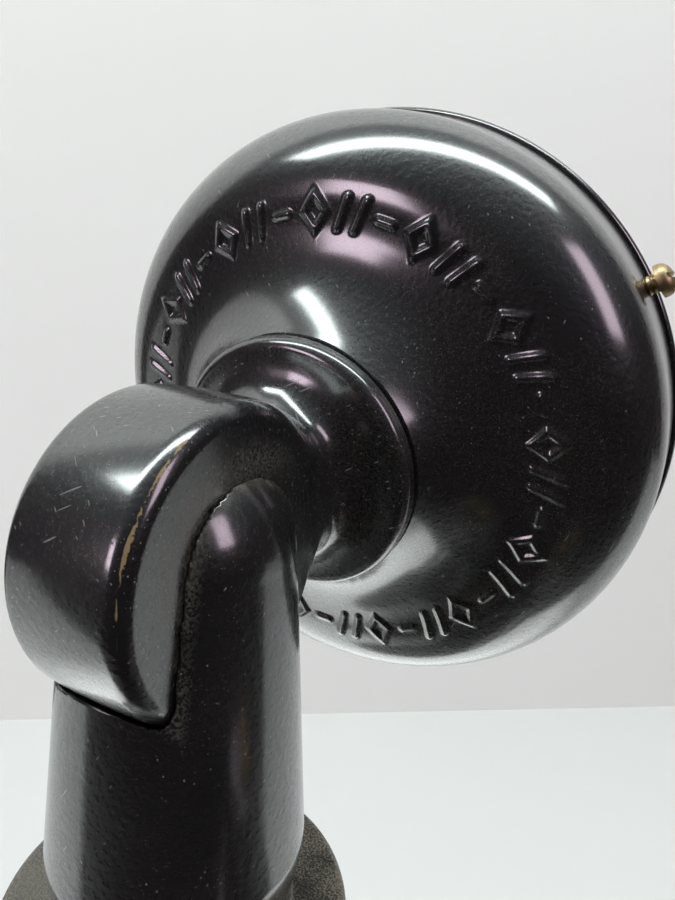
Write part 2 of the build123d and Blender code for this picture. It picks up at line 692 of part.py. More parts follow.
# Faceplate: thin rim, skirt inside the cup, domed front with a threaded neck, rear posts
skirt_outer = cup_radius - cup_wall - 0.2
skirt_inner = skirt_outer - 2.6
skirt_back = 21.0
plate_front = cup_rim_depth + 1.7
dome_radius = 17.0
dome_depth = 33.0
neck_radius = 14.5
neck_front = 36.5
thread_radius = 11.2
post_radius = 2.6
post_circle = skirt_inner - post_radius - 0.2
bridge_back = 17.0
bridge_thickness = 2.5
bridge_front = bridge_back + bridge_thickness
damping_depth = 24.6
gasket_radius = skirt_inner - 6.0
gasket_width = 3.6
gasket_back = 25.3
diaphragm_back = 26.0
diaphragm_thickness = 0.4
diaphragm_radius = gasket_radius - 0.8

with BuildPart() as faceplate:
    with BuildSketch(profile_plane):
        with BuildLine():
            Polyline(
                (thread_radius, dome_depth - 2.0),
                (dome_radius - 1, dome_depth - 2.0),
                (skirt_inner - 2.5, cup_rim_depth + 0.1),
                (skirt_inner, cup_rim_depth + 0.1),
                (skirt_inner, skirt_back),
                (skirt_outer, skirt_back),
                (skirt_outer, cup_rim_depth + 0.1),
                (faceplate_radius, cup_rim_depth + 0.1),
                (faceplate_radius, plate_front - 0.5),
                (faceplate_radius - 0.5, plate_front),
                (skirt_inner, plate_front),
            )
            Spline(
                (skirt_inner, plate_front),
                (dome_radius, dome_depth),
                tangents=[(-1, 0.1), (-0.6, 0.5)],
            )
            Polyline(
                (dome_radius, dome_depth),
                (neck_radius, dome_depth),
                (neck_radius, neck_front - 0.5),
                (neck_radius - 0.5, neck_front),
                (thread_radius, neck_front),
                (thread_radius, dome_depth - 2.0),
            )
        make_face()
    revolve(axis=cup_axis)
    with BuildSketch(boss_plane.offset(bridge_front)):
        with PolarLocations(post_circle, 2, 0):
            Circle(post_radius)
    extrude(amount=cup_rim_depth + 0.5 - bridge_front)
    with BuildSketch(boss_plane.offset(damping_depth + blade_thickness)):
        with PolarLocations(post_circle, 2, 90):
            Circle(post_radius)
    extrude(amount=cup_rim_depth + 0.5 - damping_depth - blade_thickness)
    with BuildSketch(boss_plane.offset(bridge_front)):
        with PolarLocations(post_circle, 2, 0):
            Circle(small_screw_radius + slide_fit)
    extrude(amount=5, mode=Mode.SUBTRACT)
    with BuildSketch(boss_plane.offset(damping_depth)):
        with PolarLocations(post_circle, 2, 90):
            Circle(1.0 + slide_fit)
    extrude(amount=2.6, mode=Mode.SUBTRACT)
    for angle in rim_screw_angles:
        radial = boss_plane.x_dir.rotate(Axis((0, 0, 0), forward), angle)
        inside_skirt = boss_centre + forward * rim_screw_depth + radial * (skirt_inner - 1)
        with BuildSketch(Plane(inside_skirt, z_dir=radial)):
            Circle(rim_screw_radius + slide_fit)
        extrude(amount=skirt_outer - skirt_inner + 2, mode=Mode.SUBTRACT)
faceplate.part.label = "faceplate"
export_step(faceplate.part, "parts/faceplate.step")

with BuildPart() as rim_screws:
    for angle in rim_screw_angles:
        radial = boss_plane.x_dir.rotate(Axis((0, 0, 0), forward), angle)
        lift = loose_travel if angle == loose_angle else slide_fit
        under_head = Plane(
            boss_centre + forward * rim_screw_depth + radial * (cup_radius + lift), z_dir=radial
        )
        add(screw(under_head, rim_screw_radius, rim_screw_length, rim_screw_head, rim_screw_head_height))
rim_screws.part.label = "rim_screws"
export_step(rim_screws.part, "parts/rim_screws.step")

# Mouthpiece: flared horn with a threaded stub that screws into the faceplate's neck
horn_wall = 1.8
throat_radius = 6.0
stub_depth = 5.0
stub_back = neck_front - stub_depth
horn_base = neck_front + slide_fit
mouth_depth = neck_front + mouthpiece_length - stub_depth
horn_flare = (0.75, 1)

with BuildPart() as mouthpiece:
    with BuildSketch(profile_plane):
        with BuildLine():
            Polyline(
                (throat_radius, stub_back),
                (thread_radius - slide_fit, stub_back),
                (thread_radius - slide_fit, horn_base),
                (neck_radius - 1, horn_base),
                (neck_radius - 1, horn_base + 2.5),
                (throat_radius + horn_wall + 1.5, horn_base + 5),
            )
            Spline(
                (throat_radius + horn_wall + 1.5, horn_base + 5),
                (mouthpiece_radius, mouth_depth - 1.5),
                tangents=[(0.1, 1), horn_flare],
            )
            ThreePointArc(
                (mouthpiece_radius, mouth_depth - 1.5),
                (mouthpiece_radius + 0.3, mouth_depth - 0.3),
                (mouthpiece_radius - 1.2, mouth_depth),
            )
            Spline(
                (mouthpiece_radius - 1.2, mouth_depth),
                (throat_radius, horn_base + 4),
                tangents=[(-0.75, -1), (-0.05, -1)],
            )
            Line((throat_radius, horn_base + 4), (throat_radius, stub_back))
        make_face()
    revolve(axis=cup_axis)
mouthpiece.part.label = "mouthpiece"
export_step(mouthpiece.part, "parts/mouthpiece.step")

# Diaphragm in its gasket, behind the faceplate
with BuildPart() as gasket:
    with BuildSketch(boss_plane.offset(gasket_back)):
        Circle(gasket_radius)
        Circle(gasket_radius - gasket_width, mode=Mode.SUBTRACT)
    extrude(amount=cup_rim_depth - gasket_back)
    with BuildSketch(boss_plane.offset(diaphragm_back - slide_fit)):
        Circle(diaphragm_radius + slide_fit)
    extrude(amount=diaphragm_thickness + 2 * slide_fit, mode=Mode.SUBTRACT)
gasket.part.label = "diaphragm_gasket"
export_step(gasket.part, "parts/diaphragm_gasket.step")

stem_hole = 1.3
with BuildPart() as diaphragm:
    with BuildSketch(boss_plane.offset(diaphragm_back)):
        Circle(diaphragm_radius)
        Circle(stem_hole, mode=Mode.SUBTRACT)
    extrude(amount=diaphragm_thickness)
diaphragm.part.label = "diaphragm"
export_step(diaphragm.part, "parts/diaphragm.step")

# Bridge and carbon button
button_radius = 9.0
button_wall = 1.0
button_back = bridge_front + slide_fit
button_front = 24.8
stud_radius = 2.0
bridge_half_length = post_circle + post_radius - 0.4
with BuildPart() as bridge:
    with BuildSketch(boss_plane.offset(bridge_back)):
        SlotOverall(2 * bridge_half_length, 11)
        with PolarLocations(post_circle, 2, 0):
            Circle(small_screw_radius + slide_fit, mode=Mode.SUBTRACT)
        Circle(stud_radius + slide_fit, mode=Mode.SUBTRACT)
    extrude(amount=bridge_thickness)
bridge.part.label = "transmitter_bridge"
export_step(bridge.part, "parts/transmitter_bridge.step")

with BuildPart() as bridge_screws:
    for side in (1, -1):
        under_head = Plane(
            boss_centre + boss_plane.x_dir * side * post_circle + forward * bridge_back, z_dir=-forward
        )
        add(screw(under_head, small_screw_radius, bridge_thickness + 4.5, small_head_radius, 1.6))
bridge_screws.part.label = "bridge_screws"
export_step(bridge_screws.part, "parts/bridge_screws.step")

with BuildPart() as button:
    with BuildSketch(boss_plane.offset(button_back)):
        Circle(button_radius)
    extrude(amount=button_front - button_back)
    with BuildSketch(boss_plane.offset(button_back + button_wall)):
        Circle(button_radius - button_wall)
    extrude(amount=button_front, mode=Mode.SUBTRACT)
    with BuildSketch(boss_plane.offset(button_back + button_wall)):
        Circle(stud_radius)
    extrude(amount=bridge_back - button_back - button_wall - 3.5)
button.part.label = "carbon_button_case"
export_step(button.part, "parts/carbon_button_case.step")

with BuildPart() as button_nut:
    with BuildSketch(boss_plane.offset(bridge_back - 2.2)):
        RegularPolygon(3.8, 6)
        Circle(stud_radius + slide_fit, mode=Mode.SUBTRACT)
    extrude(amount=2.2)
button_nut.part.label = "button_nut"
export_step(button_nut.part, "parts/button_nut.step")

electrode_thickness = 1.1
rear_electrode_back = button_back + button_wall
front_electrode_back = button_front - 2.2
with BuildPart() as rear_electrode:
    with BuildSketch(boss_plane.offset(rear_electrode_back)):
        Circle(6.8)
    extrude(amount=electrode_thickness)
rear_electrode.part.label = "rear_electrode"
export_step(rear_electrode.part, "parts/rear_electrode.step")

mica_thickness = 0.3
with BuildPart() as front_electrode:
    with BuildSketch(boss_plane.offset(front_electrode_back)):
        Circle(6.3)
    extrude(amount=electrode_thickness)
    with BuildSketch(boss_plane.offset(front_electrode_back)):
        Circle(stem_hole - slide_fit)
    extrude(amount=diaphragm_back + diaphragm_thickness + 2.4 - front_electrode_back)
front_electrode.part.label = "front_electrode"
export_step(front_electrode.part, "parts/front_electrode.step")

with BuildPart() as mica_washer:
    with BuildSketch(boss_plane.offset(button_front - mica_thickness)):
        Circle(button_radius - button_wall - slide_fit)
        Circle(stem_hole, mode=Mode.SUBTRACT)
    extrude(amount=mica_thickness)
mica_washer.part.label = "mica_washer"
export_step(mica_washer.part, "parts/mica_washer.step")

with BuildPart() as electrode_nut:
    with BuildSketch(boss_plane.offset(diaphragm_back + diaphragm_thickness)):
        RegularPolygon(2.6, 6)
        Circle(stem_hole, mode=Mode.SUBTRACT)
    extrude(amount=1.8)
electrode_nut.part.label = "electrode_nut"
export_step(electrode_nut.part, "parts/electrode_nut.step")

# Damping springs hold their rubber tips against the diaphragm
tip_circle = 14.5
tip_pad_radius = 2.2
with BuildPart() as damping_springs:
    for side in (1, -1):
        with BuildSketch(boss_plane.offset(damping_depth)):
            with Locations((0, side * 0.5 * (tip_circle + post_circle))):
                SlotCenterToCenter(post_circle - tip_circle, 2 * post_radius - 0.2, rotation=90)
            with Locations((0, side * post_circle)):
                Circle(1.0 + slide_fit, mode=Mode.SUBTRACT)
        extrude(amount=blade_thickness)
damping_springs.part.label = "damping_springs"
export_step(damping_springs.part, "parts/damping_springs.step")

with BuildPart() as damping_pads:
    with BuildSketch(boss_plane.offset(damping_depth + blade_thickness)):
        with PolarLocations(tip_circle, 2, 90):
            Circle(tip_pad_radius)
    extrude(amount=diaphragm_back - damping_depth - blade_thickness)
damping_pads.part.label = "damping_pads"
export_step(damping_pads.part, "parts/damping_pads.step")

with BuildPart() as damping_screws:
    for side in (1, -1):
        under_head = Plane(
            boss_centre + upward * side * post_circle + forward * damping_depth, z_dir=-forward
        )
        add(screw(under_head, 1.0, blade_thickness + 2.0, 1.9, 1.2))
damping_screws.part.label = "damping_screws"
export_step(damping_screws.part, "parts/damping_screws.step")

# =============================================================================================
# Receiver, hanging in the fork. Heights below are measured from the fork's top face
# =============================================================================================
receiver_axis = Axis((-receiver_offset, 0, 0), (0, 0, 1))
receiver_plane = Plane((-receiver_offset, 0, fork_top), x_dir=(1, 0, 0), z_dir=(0, -1, 0))
tail_top = 22.0
shell_wall = 3.0
seat_gap = 0.45
tail_radius = 13.5
lip_radius = 15.8
lip_low = lip_radius - fork_inner + seat_gap
neck_top = receiver_neck_radius - fork_inner + seat_gap
neck_low = -14.0
cap_face = base_top + receiver_hang - fork_top
shell_rim = cap_face + 5.0
shell_rim_radius = 26.5
flare_top = cap_face + 42.0
flare_radius = 17.0

with BuildPart() as receiver_shell:
    with BuildSketch(receiver_plane):
        with BuildLine():
            Line((0, tail_top), (tail_radius - 3.5, tail_top))
            CenterArc((tail_radius - 3.5, tail_top - 3.5), 3.5, 90, -90)
            Line((tail_radius, tail_top - 3.5), (tail_radius, lip_low + 7))
            ThreePointArc(
                (tail_radius, lip_low + 7), (tail_radius + 0.7, lip_low + 4.6), (lip_radius, lip_low + 3)
            )
            Line((lip_radius, lip_low + 3), (lip_radius, lip_low))
            Line((lip_radius, lip_low), (receiver_neck_radius, neck_top))
            Line((receiver_neck_radius, neck_top), (receiver_neck_radius, neck_low))
            Spline(
                (receiver_neck_radius, neck_low),
                (flare_radius, flare_top),
                (shell_rim_radius, shell_rim + 9),
                tangents=[(0.02, -1), (0.3, -1)],
            )
            Line((shell_rim_radius, shell_rim + 9), (shell_rim_radius, shell_rim))
            Line((shell_rim_radius, shell_rim), (0, shell_rim))
            Line((0, shell_rim), (0, tail_top))
        make_face()
    revolve(axis=receiver_axis)
    with BuildSketch(receiver_plane):
        with BuildLine():
            Line((0, tail_top - shell_wall), (receiver_neck_radius - shell_wall, tail_top - shell_wall))
            Line(
                (receiver_neck_radius - shell_wall, tail_top - shell_wall),
                (receiver_neck_radius - shell_wall, neck_low),
            )
            Spline(
                (receiver_neck_radius - shell_wall, neck_low),
                (flare_radius - shell_wall, flare_top - 1),
                (shell_rim_radius - shell_wall, shell_rim + 9),
                tangents=[(0.02, -1), (0.3, -1)],
            )
            Line((shell_rim_radius - shell_wall, shell_rim + 9), (shell_rim_radius - shell_wall, shell_rim))
            Line((shell_rim_radius - shell_wall, shell_rim), (0, shell_rim))
            Line((0, shell_rim), (0, tail_top - shell_wall))
        make_face()
    revolve(axis=receiver_axis, mode=Mode.SUBTRACT)
    with BuildSketch(Plane((-receiver_offset, 0, fork_top + tail_top))):
        with GridLocations(9, 0, 2, 1):
            Circle(1.3 + slide_fit)
    extrude(amount=-shell_wall, mode=Mode.SUBTRACT)
receiver_shell.part.label = "receiver_shell"
export_step(receiver_shell.part, "parts/receiver_shell.step")

cap_height = 17.0
cap_bore = shell_rim_radius + slide_fit
cap_hole = 5.0
dish_radius = 23.0
receiver_diaphragm_thickness = 0.3
diaphragm_seat = shell_rim - slide_fit - receiver_diaphragm_thickness - slide_fit
with BuildPart() as ear_cap:
    with BuildSketch(receiver_plane):
        with BuildLine():
            Polyline(
                (cap_hole, diaphragm_seat - 1.0),
                (dish_radius, diaphragm_seat - 1.0),
                (dish_radius, diaphragm_seat),
                (cap_bore, diaphragm_seat),
                (cap_bore, cap_face + cap_height),
                (ear_cap_radius - 2, cap_face + cap_height),
                (ear_cap_radius, cap_face + cap_height - 2.5),
                (ear_cap_radius, cap_face + 4),
            )
            CenterArc((ear_cap_radius - 4, cap_face + 4), 4, 0, -90)
            ThreePointArc(
                (ear_cap_radius - 4, cap_face),
                (0.5 * (ear_cap_radius + cap_hole), cap_face + 1.6),
                (cap_hole, cap_face + 2.2),
            )
            Line((cap_hole, cap_face + 2.2), (cap_hole, diaphragm_seat - 1.0))
        make_face()
    revolve(axis=receiver_axis)
ear_cap.part.label = "ear_cap"
export_step(ear_cap.part, "parts/ear_cap.step")

with BuildPart() as receiver_diaphragm:
    with BuildSketch(Plane((-receiver_offset, 0, fork_top + diaphragm_seat + slide_fit))):
        Circle(cap_bore - 0.15)
    extrude(amount=receiver_diaphragm_thickness)
receiver_diaphragm.part.label = "receiver_diaphragm"
export_step(receiver_diaphragm.part, "parts/receiver_diaphragm.step")

# Horseshoe magnet down the handle, pole pieces and coils near the diaphragm
magnet_thickness = 4.5
magnet_width = 9.0
magnet_half_spread = 6.3
magnet_top = tail_top - shell_wall - 6.0
pole_low = shell_rim + 0.6
cup_plate_low = shell_rim + 8.0
cup_plate_thickness = 1.5
cup_plate_radius = shell_rim_radius - shell_wall - 0.7
with BuildPart() as magnet:
    with BuildSketch(receiver_plane):
        for side in (1, -1):
            with Locations(
                (side * (magnet_half_spread - 0.5 * magnet_thickness),
                 0.5 * (magnet_top + cup_plate_low + cup_plate_thickness))
            ):
                Rectangle(magnet_thickness, magnet_top - cup_plate_low - cup_plate_thickness)
        with Locations((0, magnet_top - 0.5 * magnet_thickness)):
            Rectangle(2 * magnet_half_spread, magnet_thickness)
    extrude(amount=0.5 * magnet_width, both=True)
magnet.part.label = "receiver_magnet"
export_step(magnet.part, "parts/receiver_magnet.step")

pole_half = 1.2
pole_x = 4.5
with BuildPart() as cup_plate:
    with BuildSketch(Plane((-receiver_offset, 0, fork_top + cup_plate_low))):
        Circle(cup_plate_radius)
        with GridLocations(2 * pole_x, 0, 2, 1):
            Rectangle(2 * pole_half, 10, mode=Mode.SUBTRACT)
    extrude(amount=cup_plate_thickness)
cup_plate.part.label = "receiver_mounting_plate"
export_step(cup_plate.part, "parts/receiver_mounting_plate.step")

with BuildPart() as poles:
    with BuildSketch(Plane((-receiver_offset, 0, fork_top + pole_low))):
        with GridLocations(2 * pole_x, 0, 2, 1):
            Rectangle(2 * pole_half - 2 * slide_fit, 10 - 2 * slide_fit)
    extrude(amount=cup_plate_low + cup_plate_thickness - pole_low)
poles.part.label = "pole_pieces"
export_step(poles.part, "parts/pole_pieces.step")

with BuildPart() as coils:
    with BuildSketch(Plane((-receiver_offset, 0, fork_top + pole_low + 1.0))):
        with GridLocations(2 * pole_x, 0, 2, 1):
            RectangleRounded(2 * pole_x - 2 * free_gap, 16, 2)
        with GridLocations(2 * pole_x, 0, 2, 1):
            Rectangle(2 * pole_half, 10, mode=Mode.SUBTRACT)
    extrude(amount=cup_plate_low - pole_low - 1.0)
coils.part.label = "receiver_coils"
export_step(coils.part, "parts/receiver_coils.step")

with BuildPart() as tail_posts:
    for side in (1, -1):
        under_head = Plane((-receiver_offset + side * 4.5, 0, fork_top + tail_top))
        add(screw(under_head, 1.3, shell_wall + 1.5, 2.4, 3.0))
tail_posts.part.label = "receiver_terminals"
export_step(tail_posts.part, "parts/receiver_terminals.step")
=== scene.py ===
"""Looks of the desk-stand telephone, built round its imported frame.

Pieces are worked out in millimetres in the row frame and written to their meshes in metres.
"""
import json
import math

import bmesh
import bpy
import numpy as np
from mathutils import Matrix, Vector


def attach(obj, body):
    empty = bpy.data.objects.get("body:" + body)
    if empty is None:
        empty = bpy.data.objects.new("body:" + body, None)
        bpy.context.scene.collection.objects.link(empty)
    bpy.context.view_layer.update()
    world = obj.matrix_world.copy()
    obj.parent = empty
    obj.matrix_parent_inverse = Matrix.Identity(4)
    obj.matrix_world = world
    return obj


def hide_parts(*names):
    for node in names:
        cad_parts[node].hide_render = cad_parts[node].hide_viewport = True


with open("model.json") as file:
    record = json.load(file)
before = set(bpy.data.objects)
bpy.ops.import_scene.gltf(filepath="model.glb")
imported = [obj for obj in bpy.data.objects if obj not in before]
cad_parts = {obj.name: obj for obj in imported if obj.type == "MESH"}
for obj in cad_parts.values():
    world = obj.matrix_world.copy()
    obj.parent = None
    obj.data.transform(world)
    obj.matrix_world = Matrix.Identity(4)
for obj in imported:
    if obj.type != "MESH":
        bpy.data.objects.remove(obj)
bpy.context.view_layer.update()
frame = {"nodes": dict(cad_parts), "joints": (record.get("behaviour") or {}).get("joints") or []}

MM = 0.001
JOINTS = {joint["name"]: joint for joint in frame["joints"]}
NODES = frame["nodes"]

# ---- places and sizes, in millimetres ----
PIVOT = np.array(JOINTS["transmitter_tilt"]["pos_m"]) / MM
TILT = math.radians(10.0)                        # mouthpiece above level at rest
FORWARD = np.array([0.0, -math.cos(TILT), math.sin(TILT)])
UPWARD = np.array([0.0, math.sin(TILT), math.cos(TILT)])
SIDE = np.array([1.0, 0.0, 0.0])
UP = np.array([0.0, 0.0, 1.0])
BOSS_DISTANCE = 18.0                             # pivot to the boss plate's rear face
BOSS_RISE = 1.0
BOSS_CENTRE = PIVOT + FORWARD * BOSS_DISTANCE + UPWARD * BOSS_RISE
BOSS_RADIUS = 15.5
BOSS_THICKNESS = 3.1
DISC_RADIUS = 15.4
DISC_HALF = 6.8
DISC_CROWN = 0.007                               # the disc narrows by this times the square of x
CUP_RADIUS = 39.0
CUP_ANNULUS = 10.3                               # depth of the rear annulus
CUP_ROUNDING = 10.4
CUP_RIM = 27.3
CUP_WALL = 1.2
FACEPLATE_RADIUS = 39.6
HEAD_RADIUS = 10.9
HEAD_GROWTH = 0.08
BELLY_DROP = 31.0
FLANGE_RADIUS = 18.7
FLANGE_DROP = 40.5
FLANGE_THICKNESS = 4.0
CLEVIS_HALF = 6.9
SEAT_RADIUS = 15.6
RIM_SCREW_DEPTH = 25.4
RIM_SCREW_ANGLES = (30, 150, 270)
LOOSE_SCREW_ANGLE = 150
LOOSE_TRAVEL = 1.3
POST_CIRCLE = 32.2
THIRDS = (30, 150, 270)                          # where the base's three screws stand, in degrees
BASE_SCREW_CIRCLE = 58.5
TUBE_RADIUS = 14.3
TUBE_BORE = 13.1
RECEIVER_X = -50.0
HOOK_LEVEL = 188.0                               # middle of the lever's plate, and its pin
HOOK_PIN_X = 3.0
TINE_X = -66.0
TINE_Y = 16.0


# ---- mesh helpers ----
def put_in_scene(name, data):
    """Object of some data, linked to the scene."""
    made = bpy.data.objects.new(name, data)
    bpy.context.scene.collection.objects.link(made)
    return made


def shade_smooth(made, crease=None):
    """Smooth faces, with edges sharper than the crease kept sharp."""
    made.data.polygons.foreach_set("use_smooth", [True] * len(made.data.polygons))
    if crease is not None:
        made.data.set_sharp_from_angle(angle=math.radians(crease))


def mesh_object(name, points, faces, normals=None):
    """Smooth-shaded object from points in millimetres; custom normals are optional."""
    mesh = bpy.data.meshes.new(name)
    mesh.from_pydata((np.asarray(points) * MM).tolist(), [], [tuple(face) for face in faces])
    mesh.validate()
    mesh.update()
    made = put_in_scene(name, mesh)
    shade_smooth(made)
    if normals is not None:
        mesh.normals_split_custom_set_from_vertices(np.asarray(normals).tolist())
    return made


def settle(name, made, body, slot, material, *replaced):
    """Gives a finished piece its name, material and body, and hides the CAD node it replaces; slot is not
    used.
    """
    made.name = name
    made.data.materials.clear()
    made.data.materials.append(material)
    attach(made, body)
    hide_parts(*replaced)


def arc(centre, radius, start, end, count=8):
    """Points of an arc in a profile, angles in degrees."""
    turn = np.radians(np.linspace(start, end, count))
    return [(centre[0] + radius * math.cos(t), centre[1] + radius * math.sin(t)) for t in turn]


def bend(start, first, second, end, count=24):
    """Points of a cubic Bezier in a profile."""
    t = np.linspace(0, 1, count)[:, None]
    curve = (
        (1 - t) ** 3 * np.array(start)
        + 3 * (1 - t) ** 2 * t * np.array(first)
        + 3 * (1 - t) * t**2 * np.array(second)
        + t**3 * np.array(end)
    )
    return [tuple(point) for point in curve]


def lathe_faces(rows, segments, closed=True):
    """Quads between the rows of a turned piece; a closed profile joins its last row to its first."""
    column = np.arange(segments)
    following = (column + 1) % segments
    faces = []
    for row in range(rows if closed else rows - 1):
        here = row * segments
        there = ((row + 1) % rows) * segments
        faces.append(np.stack([here + column, here + following, there + following, there + column], 1))
    return np.concatenate(faces)


def lathe(name, profile, origin, axis, across=SIDE, segments=192):
    """Turned piece with a closed profile of (radius, distance along the axis); points on the axis merge."""
    turn = np.linspace(0, 2 * math.pi, segments, endpoint=False)
    ring = np.cos(turn)[:, None] * across + np.sin(turn)[:, None] * np.cross(axis, across)
    profile = np.asarray(profile, float)
    points = origin + profile[:, 1, None, None] * axis + profile[:, 0, None, None] * ring[None]
    made = mesh_object(name, points.reshape(-1, 3), lathe_faces(len(profile), segments))
    work = bmesh.new()
    work.from_mesh(made.data)
    bmesh.ops.remove_doubles(work, verts=work.verts, dist=1e-7)
    bmesh.ops.recalc_face_normals(work, faces=work.faces)
    work.to_mesh(made.data)
    work.free()
    shade_smooth(made)
    return made


# ---- solid shapes from a distance field ----
def soft_min(a, b, blend):
    """Union of two fields with a fillet."""
    mix = np.clip(0.5 + 0.5 * (b - a) / blend, 0, 1)
    return b * (1 - mix) + a * mix - blend * mix * (1 - mix)


def soft_max(a, b, blend):
    """Intersection of two fields with a rounded edge."""
    return -soft_min(-a, -b, blend)


def rounded(across, along, half_across, half_along, edge):
    """Field of a plate or cylinder with rounded edges."""
    first = across - half_across + edge
    second = np.abs(along) - half_along + edge
    outside = np.hypot(np.maximum(first, 0), np.maximum(second, 0))
    return outside + np.minimum(np.maximum(first, second), 0) - edge


def slope(field, points, reach=0.02):
    """Gradient of a field."""
    steps = np.eye(3) * reach
    return np.stack([(field(points + s) - field(points - s)) / (2 * reach) for s in steps], 1)


def onto(field, points, rounds=5):
    """Moves points onto the surface of a field."""
    for _ in range(rounds):
        away = slope(field, points)
        size = np.maximum((away**2).sum(1), 0.05)
        points = points - away * np.clip(field(points) / size, -0.4, 0.4)[:, None]
    return points


def surface_net(field, low, high, step):
    """Quad mesh round the inside of a field, its points moved onto the surface and evened out."""
    axes = [np.arange(a, b + step, step) for a, b in zip(low, high)]
    grid = np.stack(np.meshgrid(*axes, indexing="ij"), -1)
    inside = (field(grid.reshape(-1, 3)) < 0).reshape(grid.shape[:3])
    corners = sum(
        inside[i:inside.shape[0] - 1 + i, j:inside.shape[1] - 1 + j, k:inside.shape[2] - 1 + k].astype(int)
        for i in (0, 1) for j in (0, 1) for k in (0, 1)
    )
    mixed = (corners > 0) & (corners < 8)
    number = np.full(mixed.shape, -1)
    number[mixed] = np.arange(mixed.sum())
    points = grid[:-1, :-1, :-1][mixed] + step / 2
    faces = []
    for axis in range(3):
        before = [slice(None)] * 3
        after = [slice(None)] * 3
        before[axis] = slice(0, -1)
        after[axis] = slice(1, None)
        leaving = inside[tuple(before)] & ~inside[tuple(after)]
        entering = ~inside[tuple(before)] & inside[tuple(after)]
        one, two = (axis + 1) % 3, (axis + 2) % 3
        for crossing, flip in ((leaving, False), (entering, True)):
            spot = np.argwhere(crossing)
            ring = []
            for a, b in ((1, 1), (0, 1), (0, 0), (1, 0)):
                cell = spot.copy()
                cell[:, one] -= a
                cell[:, two] -= b
                ring.append(number[tuple(cell.T)])
            ring = np.stack(ring, 1)
            faces.append(ring[:, ::-1] if flip else ring)
    faces = np.concatenate(faces)
    points = onto(field, points)
    edges = np.concatenate([faces[:, [i, (i + 1) % 4]] for i in range(4)])
    share = np.bincount(edges.ravel(), minlength=len(points))[:, None]
    for _ in range(4):
        total = np.zeros_like(points)
        np.add.at(total, edges[:, 0], points[edges[:, 1]])
        np.add.at(total, edges[:, 1], points[edges[:, 0]])
        points = onto(field, 0.5 * points + 0.5 * total / share, 2)
    return points, faces


def field_object(name, field, low, high, step):
    """Object of a field's surface, shaded with the field's own normals."""
    points, faces = surface_net(field, low, high, step)
    normals = slope(field, points)
    normals /= np.linalg.norm(normals, axis=1)[:, None]
    return mesh_object(name, points, faces, normals), points


def hump(value, middle, width):
    """Bell-shaped mask, 1 where a value is at the middle."""
    return np.exp(-(((value - middle) / width) ** 2))


def paint(made, name, values):
    """Stores one number for each point, for the materials to read."""
    layer = made.data.attributes.new(name, "FLOAT", "POINT")
    layer.data.foreach_set("value", np.asarray(values, np.float32))


# ---- shader groups and materials ----
def operator(operation, flipped=False):
    """Method that works out a Math node on a signal and another value."""
    def method(self, other):
        return calculate(operation, *((other, self) if flipped else (self, other)))
    return method


class Signal:
    """Output of a node; arithmetic on it adds Math nodes to the same tree."""

    def __init__(self, socket):
        self.socket = socket

    def clamp(self):
        """Holds the last step's result between 0 and 1."""
        self.socket.node.use_clamp = True
        return self

    __add__ = operator("ADD")
    __sub__ = operator("SUBTRACT")
    __rsub__ = operator("SUBTRACT", flipped=True)
    __mul__ = operator("MULTIPLY")
    __truediv__ = operator("DIVIDE")
    __lt__ = operator("LESS_THAN")
    __gt__ = operator("GREATER_THAN")


def feed(tree, node, inputs):
    """Sets or links a node's inputs by name or number."""
    for key, value in inputs.items():
        if isinstance(value, Signal):
            tree.links.new(value.socket, node.inputs[key])
        else:
            node.inputs[key].default_value = value


def add(tree, kind, inputs=None, output=0, **settings):
    """Output of a new node with its settings and inputs."""
    node = tree.nodes.new(kind)
    for key, value in settings.items():
        setattr(node, key, value)
    feed(tree, node, inputs or {})
    return Signal(node.outputs[output])


def calculate(operation, *values):
    """Result of a Math node on numbers and signals."""
    tree = next(value.socket.id_data for value in values if isinstance(value, Signal))
    return add(tree, "ShaderNodeMath", dict(enumerate(values)), operation=operation)


def ramp(value, low, high):
    """Value run smoothly from 0 at low to 1 at high."""
    inputs = {0: value, 1: low, 2: high}
    return add(value.socket.id_data, "ShaderNodeMapRange", inputs, interpolation_type="SMOOTHSTEP")


def mix_colour(amount, first, second):
    """Two colours mixed by an amount."""
    first, second = (part if isinstance(part, Signal) else (*part, 1.0) for part in (first, second))
    inputs = {0: amount, 6: first, 7: second}
    return add(amount.socket.id_data, "ShaderNodeMix", inputs, output=2, data_type="RGBA")


def object_place(tree):
    """Place in the object's own frame."""
    return add(tree, "ShaderNodeTexCoord", output="Object")


def noise(place, scale, detail, **inputs):
    """Cloudy noise on a place."""
    inputs |= {"Vector": place, "Scale": scale, "Detail": detail}
    return add(place.socket.id_data, "ShaderNodeTexNoise", inputs)


def cells(place, scale):
    """Distance to the nearest of scattered cells."""
    inputs = {"Vector": place, "Scale": scale}
    return add(place.socket.id_data, "ShaderNodeTexVoronoi", inputs, output="Distance")


def cell_numbers(distance):
    """Two random numbers of the nearest cell."""
    own = Signal(distance.socket.node.outputs["Color"])
    parts = add(distance.socket.id_data, "ShaderNodeSeparateColor", {0: own}).socket.node.outputs
    return Signal(parts[0]), Signal(parts[1])


def shader_group(name, result, work, **defaults):
    """Shader group with named inputs, whose one output is what the work function makes of them."""
    tree = bpy.data.node_groups.new(name, "ShaderNodeTree")
    for label, default in defaults.items():
        socket = tree.interface.new_socket(label, in_out="INPUT", socket_type="NodeSocketFloat")
        socket.default_value = default
    tree.interface.new_socket(result, in_out="OUTPUT", socket_type="NodeSocketFloat")
    given = tree.nodes.new("NodeGroupInput").outputs
    made = work(tree, **{label.lower(): Signal(given[label]) for label in defaults})
    feed(tree, tree.nodes.new("NodeGroupOutput"), {result: made})
    return tree


